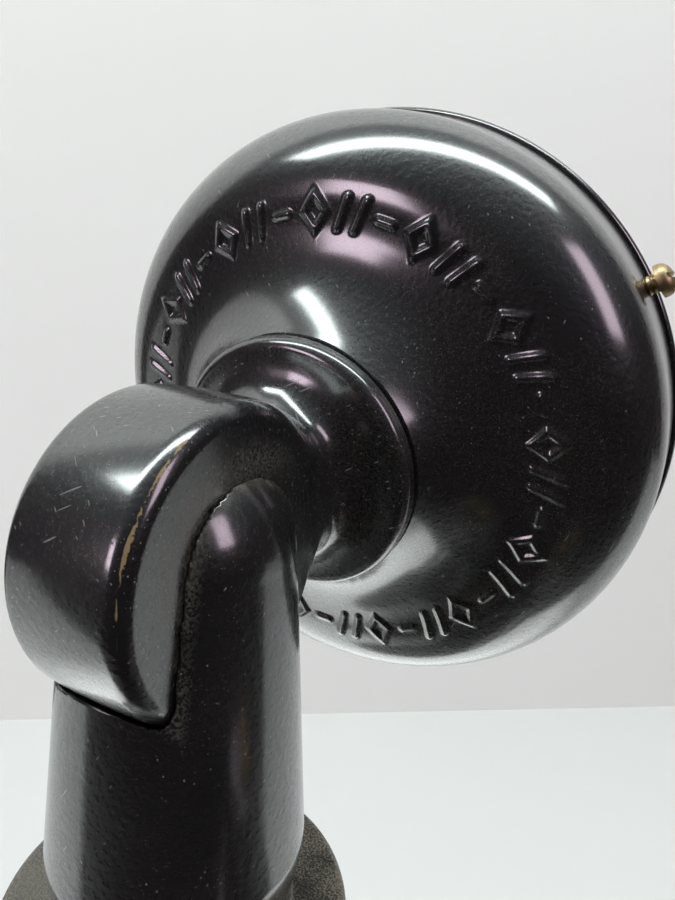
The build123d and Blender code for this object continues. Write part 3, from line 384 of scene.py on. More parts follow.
def use_group(tree, group, **inputs):
    """Places a shader group and returns its only output."""
    node = tree.nodes.new("ShaderNodeGroup")
    node.node_tree = group
    feed(tree, node, inputs)
    return Signal(node.outputs[0])


def peel_height(tree, peel, swell, pits):
    """Height of a flowed-out stove enamel: soft peel, long swells and pin pits."""
    place = object_place(tree)
    dips = ramp(cells(place, 900.0), 0.0, 0.22)
    return dips * pits + (noise(place, 190.0, 1.0) * swell + noise(place, 1500.0, 1.5) * peel)


def dust_mask(tree, specks, film, haze, scale):
    """Mask of settled dust: specks of uneven size, thicker where a surface faces up."""
    place = object_place(tree)
    facing = Signal(place.socket.node.outputs["Normal"])
    upward = ramp(add(tree, "ShaderNodeSeparateXYZ", {0: facing}, output=2), -0.3, 0.9)
    patch = noise(place, 90.0, 3.0)
    distance = cells(place, scale)
    chance, size = cell_numbers(distance)
    crowd = ramp(patch, 0.3, 0.7) * specks * (upward * 0.8 + 0.35)
    speck = (chance < crowd) * (distance < size * 0.2 + 0.1)
    film = ramp(patch, 0.25, 0.8) * film * upward
    powder = ramp(noise(place, 4200.0, 2.0), 0.42, 0.68) * haze * ramp(patch, 0.3, 0.6)
    return calculate("MAXIMUM", speck, film + powder).clamp()


def scratch_mask(tree, amount, turn):
    """Mask of fine handling scratches in two directions."""
    marks = []
    for lean, stretch in ((0.0, 2600.0), (1.9, 2000.0)):
        inputs = {"Vector": object_place(tree), "Axis": (0.15, 0.95, 0.25), "Angle": turn + lean}
        turned = add(tree, "ShaderNodeVectorRotate", inputs)
        thin = add(tree, "ShaderNodeMapping", {"Vector": turned, "Scale": (stretch, stretch, 110.0)})
        distance = cells(thin, 0.8)
        marks.append((distance < 0.13) * (cell_numbers(distance)[0] < amount))
    return calculate("MAXIMUM", *marks)


def wear_mask(tree, edge, amount):
    """Mask of paint worn through, where the piece's own edge value is high."""
    place = object_place(tree)
    level = noise(place, 140.0, 2.0) * 0.7 + (noise(place, 700.0, 4.0) * 0.5 + edge * amount)
    return ramp(level, 1.22, 1.3)


ORANGE_PEEL = shader_group("orange peel", "Height", peel_height, Peel=1.0, Swell=1.0, Pits=1.0)
DUST = shader_group("dust", "Mask", dust_mask, Specks=0.1, Film=0.1, Haze=0.1, Scale=6500.0)
SCRATCHES = shader_group("scratches", "Mask", scratch_mask, Amount=0.5, Turn=0.6)
EDGE_WEAR = shader_group("edge wear", "Mask", wear_mask, Edge=0.0, Amount=0.5)


def start_material(name, **shader_values):
    """Material with a Principled BSDF: (material, tree, shader)."""
    material = bpy.data.materials.new(name)
    material.use_nodes = True
    shader = material.node_tree.nodes["Principled BSDF"]
    for label, value in shader_values.items():
        shader.inputs[label.replace("_", " ")].default_value = value
    return material, material.node_tree, shader


def set_bump(tree, shader, height, distance):
    """Bumps a shader's normal by a height."""
    bump = add(tree, "ShaderNodeBump", {"Height": height, "Distance": distance, "Strength": 1.0})
    feed(tree, shader, {"Normal": bump})


DUST_COLOUR = (0.17, 0.15, 0.115)
WORN_COLOUR = (0.24, 0.175, 0.085)
ENAMEL_DARK = (0.0030, 0.0030, 0.0036)
ENAMEL_LIGHT = (0.0070, 0.0070, 0.0082)
SCRATCH_COLOUR = (0.19, 0.185, 0.18)


def japan_black(name, specks, film, scratches, turn=0.6, haze=0.02, peel=1.0, wear=None):
    """Gloss black stove enamel over brass; wear adds worn edges and beds of dust."""
    material, tree, shader = start_material(
        name, Coat_Roughness=0.16, Coat_IOR=1.85, IOR=1.45, Specular_IOR_Level=0.35
    )
    cloud = noise(object_place(tree), 60.0, 5.0)
    dust = use_group(tree, DUST, Specks=specks, Film=film, Haze=haze)
    if wear:
        bed = add(tree, "ShaderNodeAttribute", output="Fac", attribute_name="dust_bed")
        laid = bed * use_group(tree, DUST, Specks=1.0, Film=0.45, Haze=2.2)
        dust = calculate("MAXIMUM", dust, laid).clamp()
    lines = use_group(tree, SCRATCHES, Amount=scratches, Turn=turn)
    height = use_group(tree, ORANGE_PEEL, Peel=3.4 * peel, Swell=2.0 * peel, Pits=0.5)
    colour = mix_colour(cloud, ENAMEL_DARK, ENAMEL_LIGHT)
    colour = mix_colour(lines * 0.7, colour, SCRATCH_COLOUR)
    colour = mix_colour(dust, colour, DUST_COLOUR)
    rough = (dust * 0.45 + (cloud * 0.16 + 0.34)).clamp()
    coat = (lines * -0.5 + (1.0 - dust).clamp()).clamp()
    if wear:
        edge = add(tree, "ShaderNodeAttribute", output="Fac", attribute_name="edge_wear")
        worn = use_group(tree, EDGE_WEAR, Edge=edge, Amount=wear)
        colour = mix_colour(worn, colour, WORN_COLOUR)
        rough = (worn * 0.15 + rough).clamp()
        coat = (coat - worn).clamp()
        feed(tree, shader, {"Metallic": worn * 0.4})
    feed(tree, shader, {"Base Color": colour, "Roughness": rough, "Coat Weight": coat})
    set_bump(tree, shader, lines * -0.5 + height, 0.00003)
    return material


def hard_rubber(name):
    """Moulded ebonite: near-black brown, soft polish, faint flow lines and dust in the hollows."""
    material, tree, shader = start_material(name, IOR=1.6, Coat_Weight=0.35, Coat_Roughness=0.12)
    place = object_place(tree)
    cloud = noise(place, 45.0, 6.0)
    dust = use_group(tree, DUST, Specks=0.12, Film=0.10)
    lines = use_group(tree, SCRATCHES, Amount=0.12, Turn=1.1)
    colour = mix_colour(cloud, (0.007, 0.006, 0.0055), (0.022, 0.015, 0.011))
    colour = mix_colour(lines * 0.3, colour, (0.10, 0.085, 0.07))
    colour = mix_colour(dust, colour, DUST_COLOUR)
    rough = (dust * 0.4 + (cloud * 0.2 + 0.2)).clamp()
    feed(tree, shader, {"Base Color": colour, "Roughness": rough})
    set_bump(tree, shader, lines * -0.6 + noise(place, 1400.0, 2.0), 0.00001)
    return material


def bare_metal(name, bright, dull, rough=0.3, spots=0.5):
    """Metal with brushed grain, tarnish in clouds and darker spots."""
    material, tree, shader = start_material(name, Metallic=1.0)
    place = object_place(tree)
    grain = noise(add(tree, "ShaderNodeMapping", {"Vector": place, "Scale": (1.0, 1.0, 12.0)}), 900.0, 3.0)
    tarnish = ramp(noise(place, 260.0, 6.0), 0.42, 0.7) * spots
    colour = mix_colour(tarnish, bright, dull)
    colour = mix_colour(use_group(tree, DUST, Specks=0.06, Film=0.12), colour, DUST_COLOUR)
    uneven = (tarnish * 0.25 + (grain * 0.18 + rough)).clamp()
    feed(tree, shader, {"Base Color": colour, "Roughness": uneven})
    set_bump(tree, shader, grain, 0.000006)
    return material


def dull_finish(name, light, dark, scale, rough, relief, fleck=0.0, **shader_values):
    """Unpolished stuff such as felt, fibre, rubber or carbon: mottled colour and a soft relief."""
    material, tree, shader = start_material(name, Roughness=rough, **shader_values)
    place = object_place(tree)
    mottle = noise(place, scale, 8.0, Roughness=0.7)
    colour = mix_colour(ramp(mottle, 0.3, 0.7), dark, light)
    colour = mix_colour(use_group(tree, DUST, Specks=fleck, Film=fleck), colour, DUST_COLOUR)
    feed(tree, shader, {"Base Color": colour, "Roughness": (mottle * 0.2 + (rough - 0.1)).clamp()})
    set_bump(tree, shader, cells(place, 3 * scale) * 0.5 + mottle, relief)
    return material


def mica_sheet(name):
    """Clear amber mica with cleavage clouds."""
    material, tree, shader = start_material(name, Roughness=0.1, Transmission_Weight=0.8, IOR=1.56)
    cloud = noise(object_place(tree), 500.0, 5.0)
    feed(tree, shader, {"Base Color": mix_colour(cloud, (0.80, 0.70, 0.48), (0.55, 0.42, 0.22))})
    return material


def wound_copper(name):
    """Coil of fine enamelled wire: turns show as close bands across the winding."""
    material, tree, shader = start_material(name, Metallic=0.8)
    inputs = {"Vector": object_place(tree), "Scale": 900.0, "Distortion": 0.6, "Detail": 1.0}
    turns = add(tree, "ShaderNodeTexWave", inputs, output="Fac", bands_direction="Z")
    colour = mix_colour(turns, (0.12, 0.035, 0.015), (0.55, 0.2, 0.09))
    feed(tree, shader, {"Base Color": colour, "Roughness": turns * -0.15 + 0.42})
    set_bump(tree, shader, turns, 0.00003)
    return material


CUP_PAINT = japan_black("cup enamel", 0.3, 0.03, 0.10, turn=0.4, haze=0.05)
LUG_PAINT = japan_black("lug enamel", 0.34, 0.04, 0.45, turn=2.2, wear=0.8)
HEAD_PAINT = japan_black("head enamel", 0.26, 0.04, 0.08, wear=0.75)
STEM_PAINT = japan_black("stem enamel", 0.16, 0.08, 0.10, turn=1.2)
BASE_PAINT = japan_black("base enamel", 0.14, 0.25, 0.20, turn=0.9, peel=1.3)
RIM_PAINT = japan_black("rim enamel", 0.08, 0.02, 0.20, turn=0.2)
HARD_RUBBER = hard_rubber("hard rubber")
SCREW_BRASS = bare_metal("screw brass", (0.50, 0.37, 0.20), (0.15, 0.10, 0.05), spots=0.9)
FINISHES = {
    "black_japan": STEM_PAINT,
    "brass": bare_metal("brass", (0.66, 0.47, 0.20), (0.28, 0.17, 0.06), rough=0.28),
    "steel": bare_metal("steel", (0.50, 0.50, 0.51), (0.17, 0.14, 0.12), rough=0.32),
    "spring_brass": bare_metal("spring brass", (0.62, 0.50, 0.24), (0.33, 0.22, 0.09), rough=0.22),
    "hard_rubber": HARD_RUBBER,
    "aluminium_sheet": bare_metal("aluminium sheet", (0.74, 0.74, 0.75), (0.45, 0.45, 0.46), spots=0.3),
    "rubber": dull_finish(
        "rubber", (0.028, 0.027, 0.026), (0.012, 0.012, 0.012), 300.0, 0.6, 0.00002, fleck=0.15
    ),
    "fibre": dull_finish("fibre", (0.21, 0.07, 0.04), (0.10, 0.03, 0.02), 420.0, 0.65, 0.00002),
    "felt": dull_finish(
        "felt", (0.075, 0.10, 0.06), (0.025, 0.04, 0.022), 900.0, 0.95, 0.0003, fleck=0.3,
        Sheen_Weight=0.5, Sheen_Roughness=0.6,
    ),
    "carbon": dull_finish("carbon", (0.03, 0.03, 0.032), (0.01, 0.01, 0.01), 800.0, 0.5, 0.00001),
    "mica": mica_sheet("mica"),
    "copper_coil": wound_copper("copper coil"),
    "magnet_steel": bare_metal(
        "magnet steel", (0.20, 0.20, 0.21), (0.07, 0.055, 0.05), rough=0.45, spots=0.8
    ),
}
for node in NODES.values():
    kind = node.data.materials[0].name.split(".")[0]
    node.data.materials[0] = FINISHES[kind]


# ---- cutting and finishing tools ----
def finished_mesh(made):
    """Puts an object's modifiers into its mesh and removes them."""
    bpy.context.view_layer.update()
    result = bpy.data.meshes.new_from_object(made.evaluated_get(bpy.context.evaluated_depsgraph_get()))
    made.modifiers.clear()
    made.data = result
    return made


def combine(made, tools, operation="DIFFERENCE", crease=32.0):
    """Cuts tools out of a closed piece, or adds them to it, and keeps its real edges sharp."""
    for tool in tools:
        cut = made.modifiers.new(operation.lower(), "BOOLEAN")
        cut.operation = operation
        cut.solver = "MANIFOLD"
        cut.object = tool
    finished_mesh(made)
    for tool in tools:
        bpy.data.objects.remove(tool)
    shade_smooth(made, crease)
    return made


def spoke(angle):
    """Level direction at an angle from +X towards +Y."""
    turn = math.radians(angle)
    return np.array([math.cos(turn), math.sin(turn), 0.0])


def rod(radius, start, direction, length, segments=48):
    """Plain round tool for cutting holes."""
    direction = np.array(direction, float)
    across = np.cross(direction, UP if abs(direction[2]) < 0.9 else SIDE)
    across /= np.linalg.norm(across)
    profile = [(0, 0), (radius, 0), (radius, length), (0, length)]
    return lathe("tool", profile, np.array(start, float), direction, across, segments)


def slab(outline, origin, across, upward, length):
    """Tool of a flat outline pushed along the direction square to it."""
    outline = np.asarray(outline, float)
    out = np.cross(across, upward)
    flat = origin + outline[:, :1] * across + outline[:, 1:] * upward
    count = len(outline)
    here = np.arange(count)
    sides = [(i, (i + 1) % count, (i + 1) % count + count, i + count) for i in here]
    caps = [tuple(here[::-1]), tuple(here + count)]
    return mesh_object("tool", np.vstack([flat, flat + out * length]), sides + caps)


def rounded_outline(half_width, half_height, corner, count=8):
    """Outline of a rounded rectangle."""
    points = []
    for start, x, y in ((0, 1, 1), (90, -1, 1), (180, -1, -1), (270, 1, -1)):
        centre = (x * (half_width - corner), y * (half_height - corner))
        points += arc(centre, corner, start, start + 90, count)
    return points


def around(angle):
    """Direction square to the cup's axis, at an angle from +X towards up."""
    turn = math.radians(angle)
    return SIDE * math.cos(turn) + UPWARD * math.sin(turn)


# ---- transmitter cup with its ring of raised ornament ----
ORNAMENT_RADIUS = 28.0
ORNAMENT_HALF = 2.2                              # half the height of the marks
ORNAMENT_STROKE = 0.46                           # half the width of a stroke
ORNAMENT_HEIGHT = 0.30
ORNAMENT_REPEATS = 13


def ornament(radius, angle):
    """Height of the raised ring: lozenges, slanted bars and dashes, repeated round the cup."""
    pitch = 2 * math.pi * ORNAMENT_RADIUS / ORNAMENT_REPEATS
    along = np.mod(angle * ORNAMENT_RADIUS, pitch)
    up = radius - ORNAMENT_RADIUS
    lozenge = (np.abs(along - 2.3) * 1.15 + np.abs(up) * 0.9 - 0.9 * (ORNAMENT_HALF - 0.3)) / 1.46
    away = np.abs(lozenge) - ORNAMENT_STROKE
    for middle in (5.9, 8.2):
        slant = np.abs((along - middle - 0.28 * up) * 0.963)
        past_end = np.maximum(np.abs(up) - ORNAMENT_HALF + 0.5, 0)
        away = np.minimum(away, np.hypot(slant, past_end) - ORNAMENT_STROKE)
    dash = np.hypot(np.maximum(np.abs(along - 11.3) - 0.9, 0), up)
    away = np.minimum(away, dash - ORNAMENT_STROKE)
    rise = np.clip((0.28 - away) / 0.72, 0, 1)
    return ORNAMENT_HEIGHT * rise * rise * (3 - 2 * rise)


def cup_outline():
    """Outside of the cup's profile as (radius, depth): boss seat, flank, shoulder, side and lip."""
    shoulder = (CUP_RADIUS - CUP_ROUNDING, CUP_ANNULUS + CUP_ROUNDING)
    run = shoulder[0] - BOSS_RADIUS
    rise = CUP_ANNULUS - BOSS_THICKNESS
    flank_radius = (run**2 + rise**2) / (2 * rise)
    flank = (shoulder[0], CUP_ANNULUS - flank_radius)
    foot = math.degrees(math.atan2(BOSS_THICKNESS - flank[1], -run))
    ring_start = 90 + math.degrees(math.asin((shoulder[0] - ORNAMENT_RADIUS + 3.0) / flank_radius))
    ring_end = 286.0
    outline = [(4.0, BOSS_THICKNESS), (9.0, BOSS_THICKNESS), (BOSS_RADIUS - 0.6, BOSS_THICKNESS)]
    outline += arc(flank, flank_radius, foot, ring_start, 14)
    outline += arc(flank, flank_radius, ring_start, 90, 22)[1:]
    outline += arc(shoulder, CUP_ROUNDING, 270, ring_end, 17)[1:]
    outline += arc(shoulder, CUP_ROUNDING, ring_end, 360, 24)[1:]
    outline += [(CUP_RADIUS, depth) for depth in np.linspace(shoulder[1], CUP_RIM - 0.4, 6)[1:]]
    outline += arc((CUP_RADIUS - 0.4, CUP_RIM - 0.4), 0.4, 0, 90, 5)[1:]
    return np.array(outline)


def make_cup():
    """Cup as two turned skins, the outer one fine enough to carry the ornament."""
    outline = cup_outline()
    columns, share = 840, 3
    run = np.gradient(outline, axis=0)
    normal = np.stack([run[:, 1], -run[:, 0]], 1)
    normal /= np.linalg.norm(normal, axis=1)[:, None]
    turn = np.linspace(0, 2 * math.pi, columns, endpoint=False)
    height = ornament(outline[:, :1], turn[None])
    radius = outline[:, :1] + height * normal[:, :1]
    depth = outline[:, 1:] + height * normal[:, 1:]
    ring = np.cos(turn)[None, :, None] * SIDE + np.sin(turn)[None, :, None] * UPWARD
    outer = BOSS_CENTRE + depth[..., None] * FORWARD + radius[..., None] * ring
    kept = [*range(2, 17), *range(20, 54, 4), *range(56, len(outline) - 5, 2)]
    inside = (outline - CUP_WALL * normal)[kept]
    inside = np.vstack([(4.0, BOSS_THICKNESS + CUP_WALL), inside, (CUP_RADIUS - CUP_WALL, CUP_RIM)])
    radius, depth = inside[:, 0, None, None], inside[:, 1, None, None]
    inner = BOSS_CENTRE + depth * FORWARD + radius * ring[:, ::share]
    faces = [tuple(face[::-1]) for face in lathe_faces(len(outline), columns, closed=False)]
    start = outer.shape[0] * columns
    few = columns // share
    faces += [tuple(face + start) for face in lathe_faces(len(inside), few, closed=False)]
    for row, base, flip in ((0, start, False), (len(outline) - 1, start + (len(inside) - 1) * few, True)):
        for j in range(few):
            fan = [row * columns + (j * share + k) % columns for k in range(share + 1)]
            face = (base + j, *fan, base + (j + 1) % few)
            faces.append(face[::-1] if flip else face)
    return mesh_object("cup", np.vstack([outer.reshape(-1, 3), inner.reshape(-1, 3)]), faces)


def screw_hole(angle, radius, start, length):
    """Tool for one of the rim's screw holes."""
    origin = BOSS_CENTRE + FORWARD * RIM_SCREW_DEPTH + around(angle) * start
    return rod(radius, origin, around(angle), length, 32)


cup = make_cup()
combine(cup, [screw_hole(angle, 1.25, 34.0, 8.0) for angle in RIM_SCREW_ANGLES], crease=50.0)
settle("cup_with_ornament", cup, "transmitter", "black_japan", CUP_PAINT, "transmitter_cup")


# ---- tilting lug: crowned disc, neck and boss plate in one casting ----
def lug_field(points):
    """Distance to the lug's surface, in millimetres."""
    from_pivot = points - PIVOT
    x = from_pivot @ SIDE
    ahead = from_pivot @ FORWARD
    up = from_pivot @ UPWARD
    reach = np.hypot(ahead, up)
    disc = rounded(reach + DISC_CROWN * x * x, x, DISC_RADIUS, DISC_HALF, 1.7)
    rise = up - BOSS_RISE
    flat = np.maximum(np.abs(x) - 0.9, 0)
    tall = np.maximum(np.abs(rise) - 3.1, 0)
    neck = np.maximum(np.hypot(flat, tall) - 5.4, np.maximum(-ahead, ahead - BOSS_DISTANCE - 1))
    half = 0.5 * BOSS_THICKNESS
    boss = rounded(np.hypot(x, rise), ahead - BOSS_DISTANCE - half, BOSS_RADIUS, half, 1.25)
    body = soft_min(soft_min(disc, neck, 3.0), boss, 6.0)
    body = soft_max(body, ahead - BOSS_DISTANCE - BOSS_THICKNESS, 0.3)
    bore = reach - 2.56
    recess = np.maximum(reach - 6.2, 6.2 - x)
    return np.maximum(soft_max(body, -bore, 0.3), -recess)


def make_lug():
    """Lug with its worn rim and the dust beside the cheeks and on the boss plate."""
    low = PIVOT + np.array([-16.8, -26.0, -17.0])
    high = PIVOT + np.array([16.8, 17.0, 22.0])
    made, points = field_object("lug", lug_field, low, high, 0.42)
    from_pivot = points - PIVOT
    reach = np.hypot(from_pivot @ FORWARD, from_pivot @ UPWARD)
    x = from_pivot @ SIDE
    at_rim = hump(reach, DISC_RADIUS - 0.5, 0.45)
    paint(made, "edge_wear", at_rim * hump(np.abs(x), DISC_HALF - 0.5, 0.4))
    by_cheek = hump(np.abs(x), DISC_HALF, 0.3) * np.clip((HEAD_RADIUS + 1.5 - reach) / 2, 0, 1)
    on_boss = np.clip((from_pivot @ FORWARD - 12.0) / 3.0, 0, 1) * 0.06
    paint(made, "dust_bed", np.clip(0.35 * by_cheek + on_boss, 0, 1))
    return made


settle("lug_casting", make_lug(), "transmitter", "black_japan", LUG_PAINT, "tilting_lug")


# ---- stem head: tapering column sliced into two domed cheeks, belly, waist and flange ----
def head_field(points):
    """Distance to the stem head's surface, in millimetres."""
    x, y, z = (points - PIVOT).T
    radius = np.hypot(x, y)
    drop = -z
    column = radius - HEAD_RADIUS - HEAD_GROWTH * np.clip(drop, 0, BELLY_DROP)
    dome = np.sqrt(x * x + y * y + np.maximum(z, 0) ** 2) - HEAD_RADIUS
    body = np.where(z > 0, dome, column)
    pinch = np.clip((drop - BELLY_DROP) / (FLANGE_DROP - BELLY_DROP), 0, 1)
    body = body + 1.18 * pinch * pinch * (3 - 2 * pinch)
    body = np.maximum(body, drop - FLANGE_DROP - 1)
    half = 0.5 * FLANGE_THICKNESS
    flange = rounded(radius, drop - FLANGE_DROP - half, FLANGE_RADIUS, half, 1.2)
    body = soft_min(body, flange, 1.2)
    spigot = np.maximum(radius - 13.05, np.abs(drop - FLANGE_DROP - FLANGE_THICKNESS - 4) - 8)
    body = np.minimum(body, spigot)
    slot = rounded(np.hypot(y, z) + DISC_CROWN * x * x, x, SEAT_RADIUS, CLEVIS_HALF, 1.6)
    body = soft_max(body, -slot, 0.35)
    wires = np.maximum(radius - 6.5, z + 10)
    screw_seat = np.maximum(np.hypot(y, z) - 4.15, 8.2 - x)
    screw_bore = np.maximum(np.hypot(y, z) - 2.55, -9.2 - x)
    return np.maximum(np.maximum(soft_max(body, -wires, 0.2), -screw_bore), -screw_seat)


def make_head():
    """Stem head with its worn slot edges and flange, and the dust in the seams and on the flange."""
    reach = FLANGE_RADIUS + 1.0
    low = PIVOT + np.array([-reach, -reach, -FLANGE_DROP - FLANGE_THICKNESS - 13.5])
    high = PIVOT + np.array([reach, reach, HEAD_RADIUS + 1.0])
    made, points = field_object("head", head_field, low, high, 0.42)
    x, y, z = (points - PIVOT).T
    radius = np.sqrt(x * x + y * y + np.maximum(z, 0) ** 2)
    inner_edge = hump(np.abs(x), CLEVIS_HALF + 0.25, 0.35)
    outside = hump(radius, HEAD_RADIUS + HEAD_GROWTH * np.maximum(-z, 0), 0.7)
    rim = hump(np.hypot(np.hypot(x, y) - FLANGE_RADIUS + 0.7, z + FLANGE_DROP + 0.7), 0.0, 0.8)
    upper = np.clip((z + 2.0) / 6.0, 0, 0.75)
    floor_edge = hump(np.hypot(y, z), SEAT_RADIUS + 0.1, 0.3) * (np.abs(x) < CLEVIS_HALF + 0.3)
    on_slot = np.clip(SEAT_RADIUS + 0.5 - np.hypot(y, z), 0, 1)
    slot_wear = (inner_edge * on_slot * upper + 0.55 * floor_edge) * outside
    paint(made, "edge_wear", np.clip(slot_wear + 0.8 * rim, 0, 1))
    on_flange = np.clip((-z - FLANGE_DROP + 1.5) / 1.0, 0, 1)
    in_seam = np.clip(1.2 - np.abs(np.abs(x) - CLEVIS_HALF - 0.4) / 0.8, 0, 1) * on_slot
    paint(made, "dust_bed", np.clip(on_flange + 0.3 * in_seam, 0, 1))
    return made


settle("head_casting", make_head(), "stand", "black_japan", HEAD_PAINT, "stem_head")


# ---- faceplate, mouthpiece and the other turned pieces ----
def cup_rod(angle, radius, start, length):
    """Round bar along the cup's axis, on the circle of the faceplate's posts."""
    return rod(radius, BOSS_CENTRE + around(angle) * POST_CIRCLE + FORWARD * start, FORWARD, length, 40)


def make_faceplate():
    """Thin rolled rim, skirt in the cup, domed front, threaded neck and four posts."""
    skirt, inner, skirt_end = 37.6, 35.0, 21.0
    rim_back, rim_front = CUP_RIM + 0.1, CUP_RIM + 1.7
    thread, neck, top = 11.2, 14.5, 36.5
    profile = [(thread, 31.0), (16.0, 31.0)]
    profile += bend((16.0, 31.0), (22.0, 30.4), (28.0, 28.2), (32.5, rim_back), 16)[1:]
    profile += [(inner, rim_back), (inner, skirt_end + 0.2), (inner + 0.2, skirt_end)]
    profile += [(skirt - 0.2, skirt_end), (skirt, skirt_end + 0.2), (skirt, rim_back)]
    profile += [(FACEPLATE_RADIUS - 0.3, rim_back)]
    profile += arc((FACEPLATE_RADIUS - 0.8, rim_back + 0.8), 0.8, -80, 90, 12)
    profile += bend((inner, rim_front), (28.5, rim_front + 0.6), (20.5, 31.2), (17.0, 33.0), 28)
    profile += [(16.6, 33.15), (14.9, 33.15), (neck, 33.5), (neck, top - 0.4)]
    profile += arc((neck - 0.4, top - 0.4), 0.4, 0, 90, 4)[1:] + [(11.6, top), (thread, top - 0.4)]
    made = lathe("plate", profile, BOSS_CENTRE, FORWARD, segments=256)
    long_posts, short_posts = (0, 180), (90, 270)
    posts = [cup_rod(angle, 2.6, 19.5, 8.4) for angle in long_posts]
    posts += [cup_rod(angle, 2.6, 25.0, 2.9) for angle in short_posts]
    combine(made, posts, "UNION")
    holes = [cup_rod(angle, 1.35, 18.0, 6.5) for angle in long_posts]
    holes += [cup_rod(angle, 1.05, 24.0, 3.2) for angle in short_posts]
    holes += [screw_hole(angle, 1.2, 34.0, 5.0) for angle in RIM_SCREW_ANGLES]
    return combine(made, holes)


def make_mouthpiece():
    """Flared horn with a threaded stub, a foot ring and a rolled lip."""
    stub, base, mouth = 31.5, 36.55, 69.5
    profile = [(6.0, stub), (10.4, stub), (11.0, stub + 0.5)]
    for turn in range(6):
        crest = stub + 0.9 + 0.7 * turn
        profile += [(11.14, crest), (10.6, crest + 0.35)]
    profile += [(11.0, base), (13.2, base), (13.5, base + 0.3), (13.5, base + 2.0)]
    profile += arc((13.0, base + 2.0), 0.5, 0, 80, 5)[1:]
    profile += bend((12.4, base + 2.6), (10.4, base + 3.0), (9.5, base + 3.4), (9.3, base + 5.0), 10)
    profile += bend((9.3, base + 5.0), (10.3, base + 15.3), (19.8, 59.7), (26.0, 68.0), 40)[1:]
    profile += bend((26.0, 68.0), (26.5, 68.7), (26.2, 69.5), (24.9, mouth), 9)[1:]
    profile += bend((24.9, mouth), (18.0, 60.3), (6.6, 52.0), (6.0, base + 4.0), 40)[1:]
    return lathe("horn", profile, BOSS_CENTRE, FORWARD, segments=256)


settle("faceplate_rolled", make_faceplate(), "transmitter", "black_japan", RIM_PAINT, "faceplate")
settle("horn", make_mouthpiece(), "transmitter", "hard_rubber", HARD_RUBBER, "mouthpiece")


def make_base():
    """Pressed base with its sweep up to the stem collar, three screw lugs and two cord holes."""
    bore, collar_seat, wall = 14.35, 44.0, 2.2
    shoulder, shoulder_radius = (61.5, 14.0), 8.0
    sweep, sweep_radius, sweep_end = (57.0, 65.03), 43.03, -144.4
    profile = [(67.3, 0.9), (67.5, 0.6), (69.1, 0.6)]
    profile += arc((69.0, 1.1), 0.5, -80, 0, 5)
    profile += arc(shoulder, shoulder_radius, 0, 90, 24)
    profile += arc(sweep, sweep_radius, -90, sweep_end, 48)
    profile += arc((21.2, 43.2), 0.8, 0, 90, 6)
    profile += [(14.5, collar_seat), (bore, 43.8), (bore, 41.8), (19.8, 41.8)]
    profile += arc(sweep, sweep_radius + wall, sweep_end - 0.9, -90, 40)
    profile += arc(shoulder, shoulder_radius - wall, 90, 0, 16)
    made = lathe("base", profile, np.zeros(3), UP, segments=256)
    spots = [BASE_SCREW_CIRCLE * spoke(angle) for angle in THIRDS]
    combine(made, [rod(4.5, spot + UP * 3.1, UP, 17.8, 40) for spot in spots], "UNION")
    tools = [rod(1.85, spot + UP * 3.0, UP, 8.1, 32) for spot in spots]
    tools += [rod(3.9, spoke(angle) * 62.0 + UP * 8.7, spoke(angle), 10.0) for angle in (78, 102)]
    return combine(made, tools)


def make_collar():
    """Rounded ring where the stem leaves the base."""
    bore, foot, top, edge = 14.35, 44.0, 50.0, 2.4
    profile = [(bore, foot + 0.1), (14.5, foot), (16.0, foot)]
    profile += arc((16.2, foot + edge), edge, -88, -2, 12) + arc((16.2, top - edge), edge, 2, 88, 12)
    profile += [(14.6, top), (bore, top - 0.2)]
    return lathe("collar", profile, np.zeros(3), UP, segments=192)


def make_tube():
    """Stem tube with the hook lever's slot and its screw and pin holes."""
    top = PIVOT[2] - FLANGE_DROP - FLANGE_THICKNESS - 0.05
    foot = 35.0
    profile = [(TUBE_BORE, foot), (13.3, foot - 0.2), (14.1, foot - 0.2), (TUBE_RADIUS, foot)]
    profile += [(TUBE_RADIUS, height) for height in np.linspace(40.0, top - 5.0, 12)]
    profile += [(TUBE_RADIUS, top - 0.25), (14.05, top), (13.3, top), (TUBE_BORE, top - 0.2)]
    made = lathe("tube", profile, np.zeros(3), UP, segments=192)
    slot = rounded_outline(4.5, 3.5, 1.0)
    tools = [slab(slot, np.array([-18.0, 0.0, 189.2]), np.array([0.0, 1.0, 0.0]), UP, 6.0)]
    tools += [rod(1.55, (12.0, 0, height), (1, 0, 0), 4.0, 32) for height in (174.0, 140.0)]
    tools += [rod(1.45, (0, -17.0, 199.5), (0, 1, 0), 34.0, 32)]
    return combine(made, tools)


settle("pressed_base", make_base(), "stand", "black_japan", BASE_PAINT, "base_shell")
settle("collar_ring", make_collar(), "stand", "black_japan", BASE_PAINT, "stem_collar")
settle("drawn_tube", make_tube(), "stand", "black_japan", STEM_PAINT, "stem_tube")


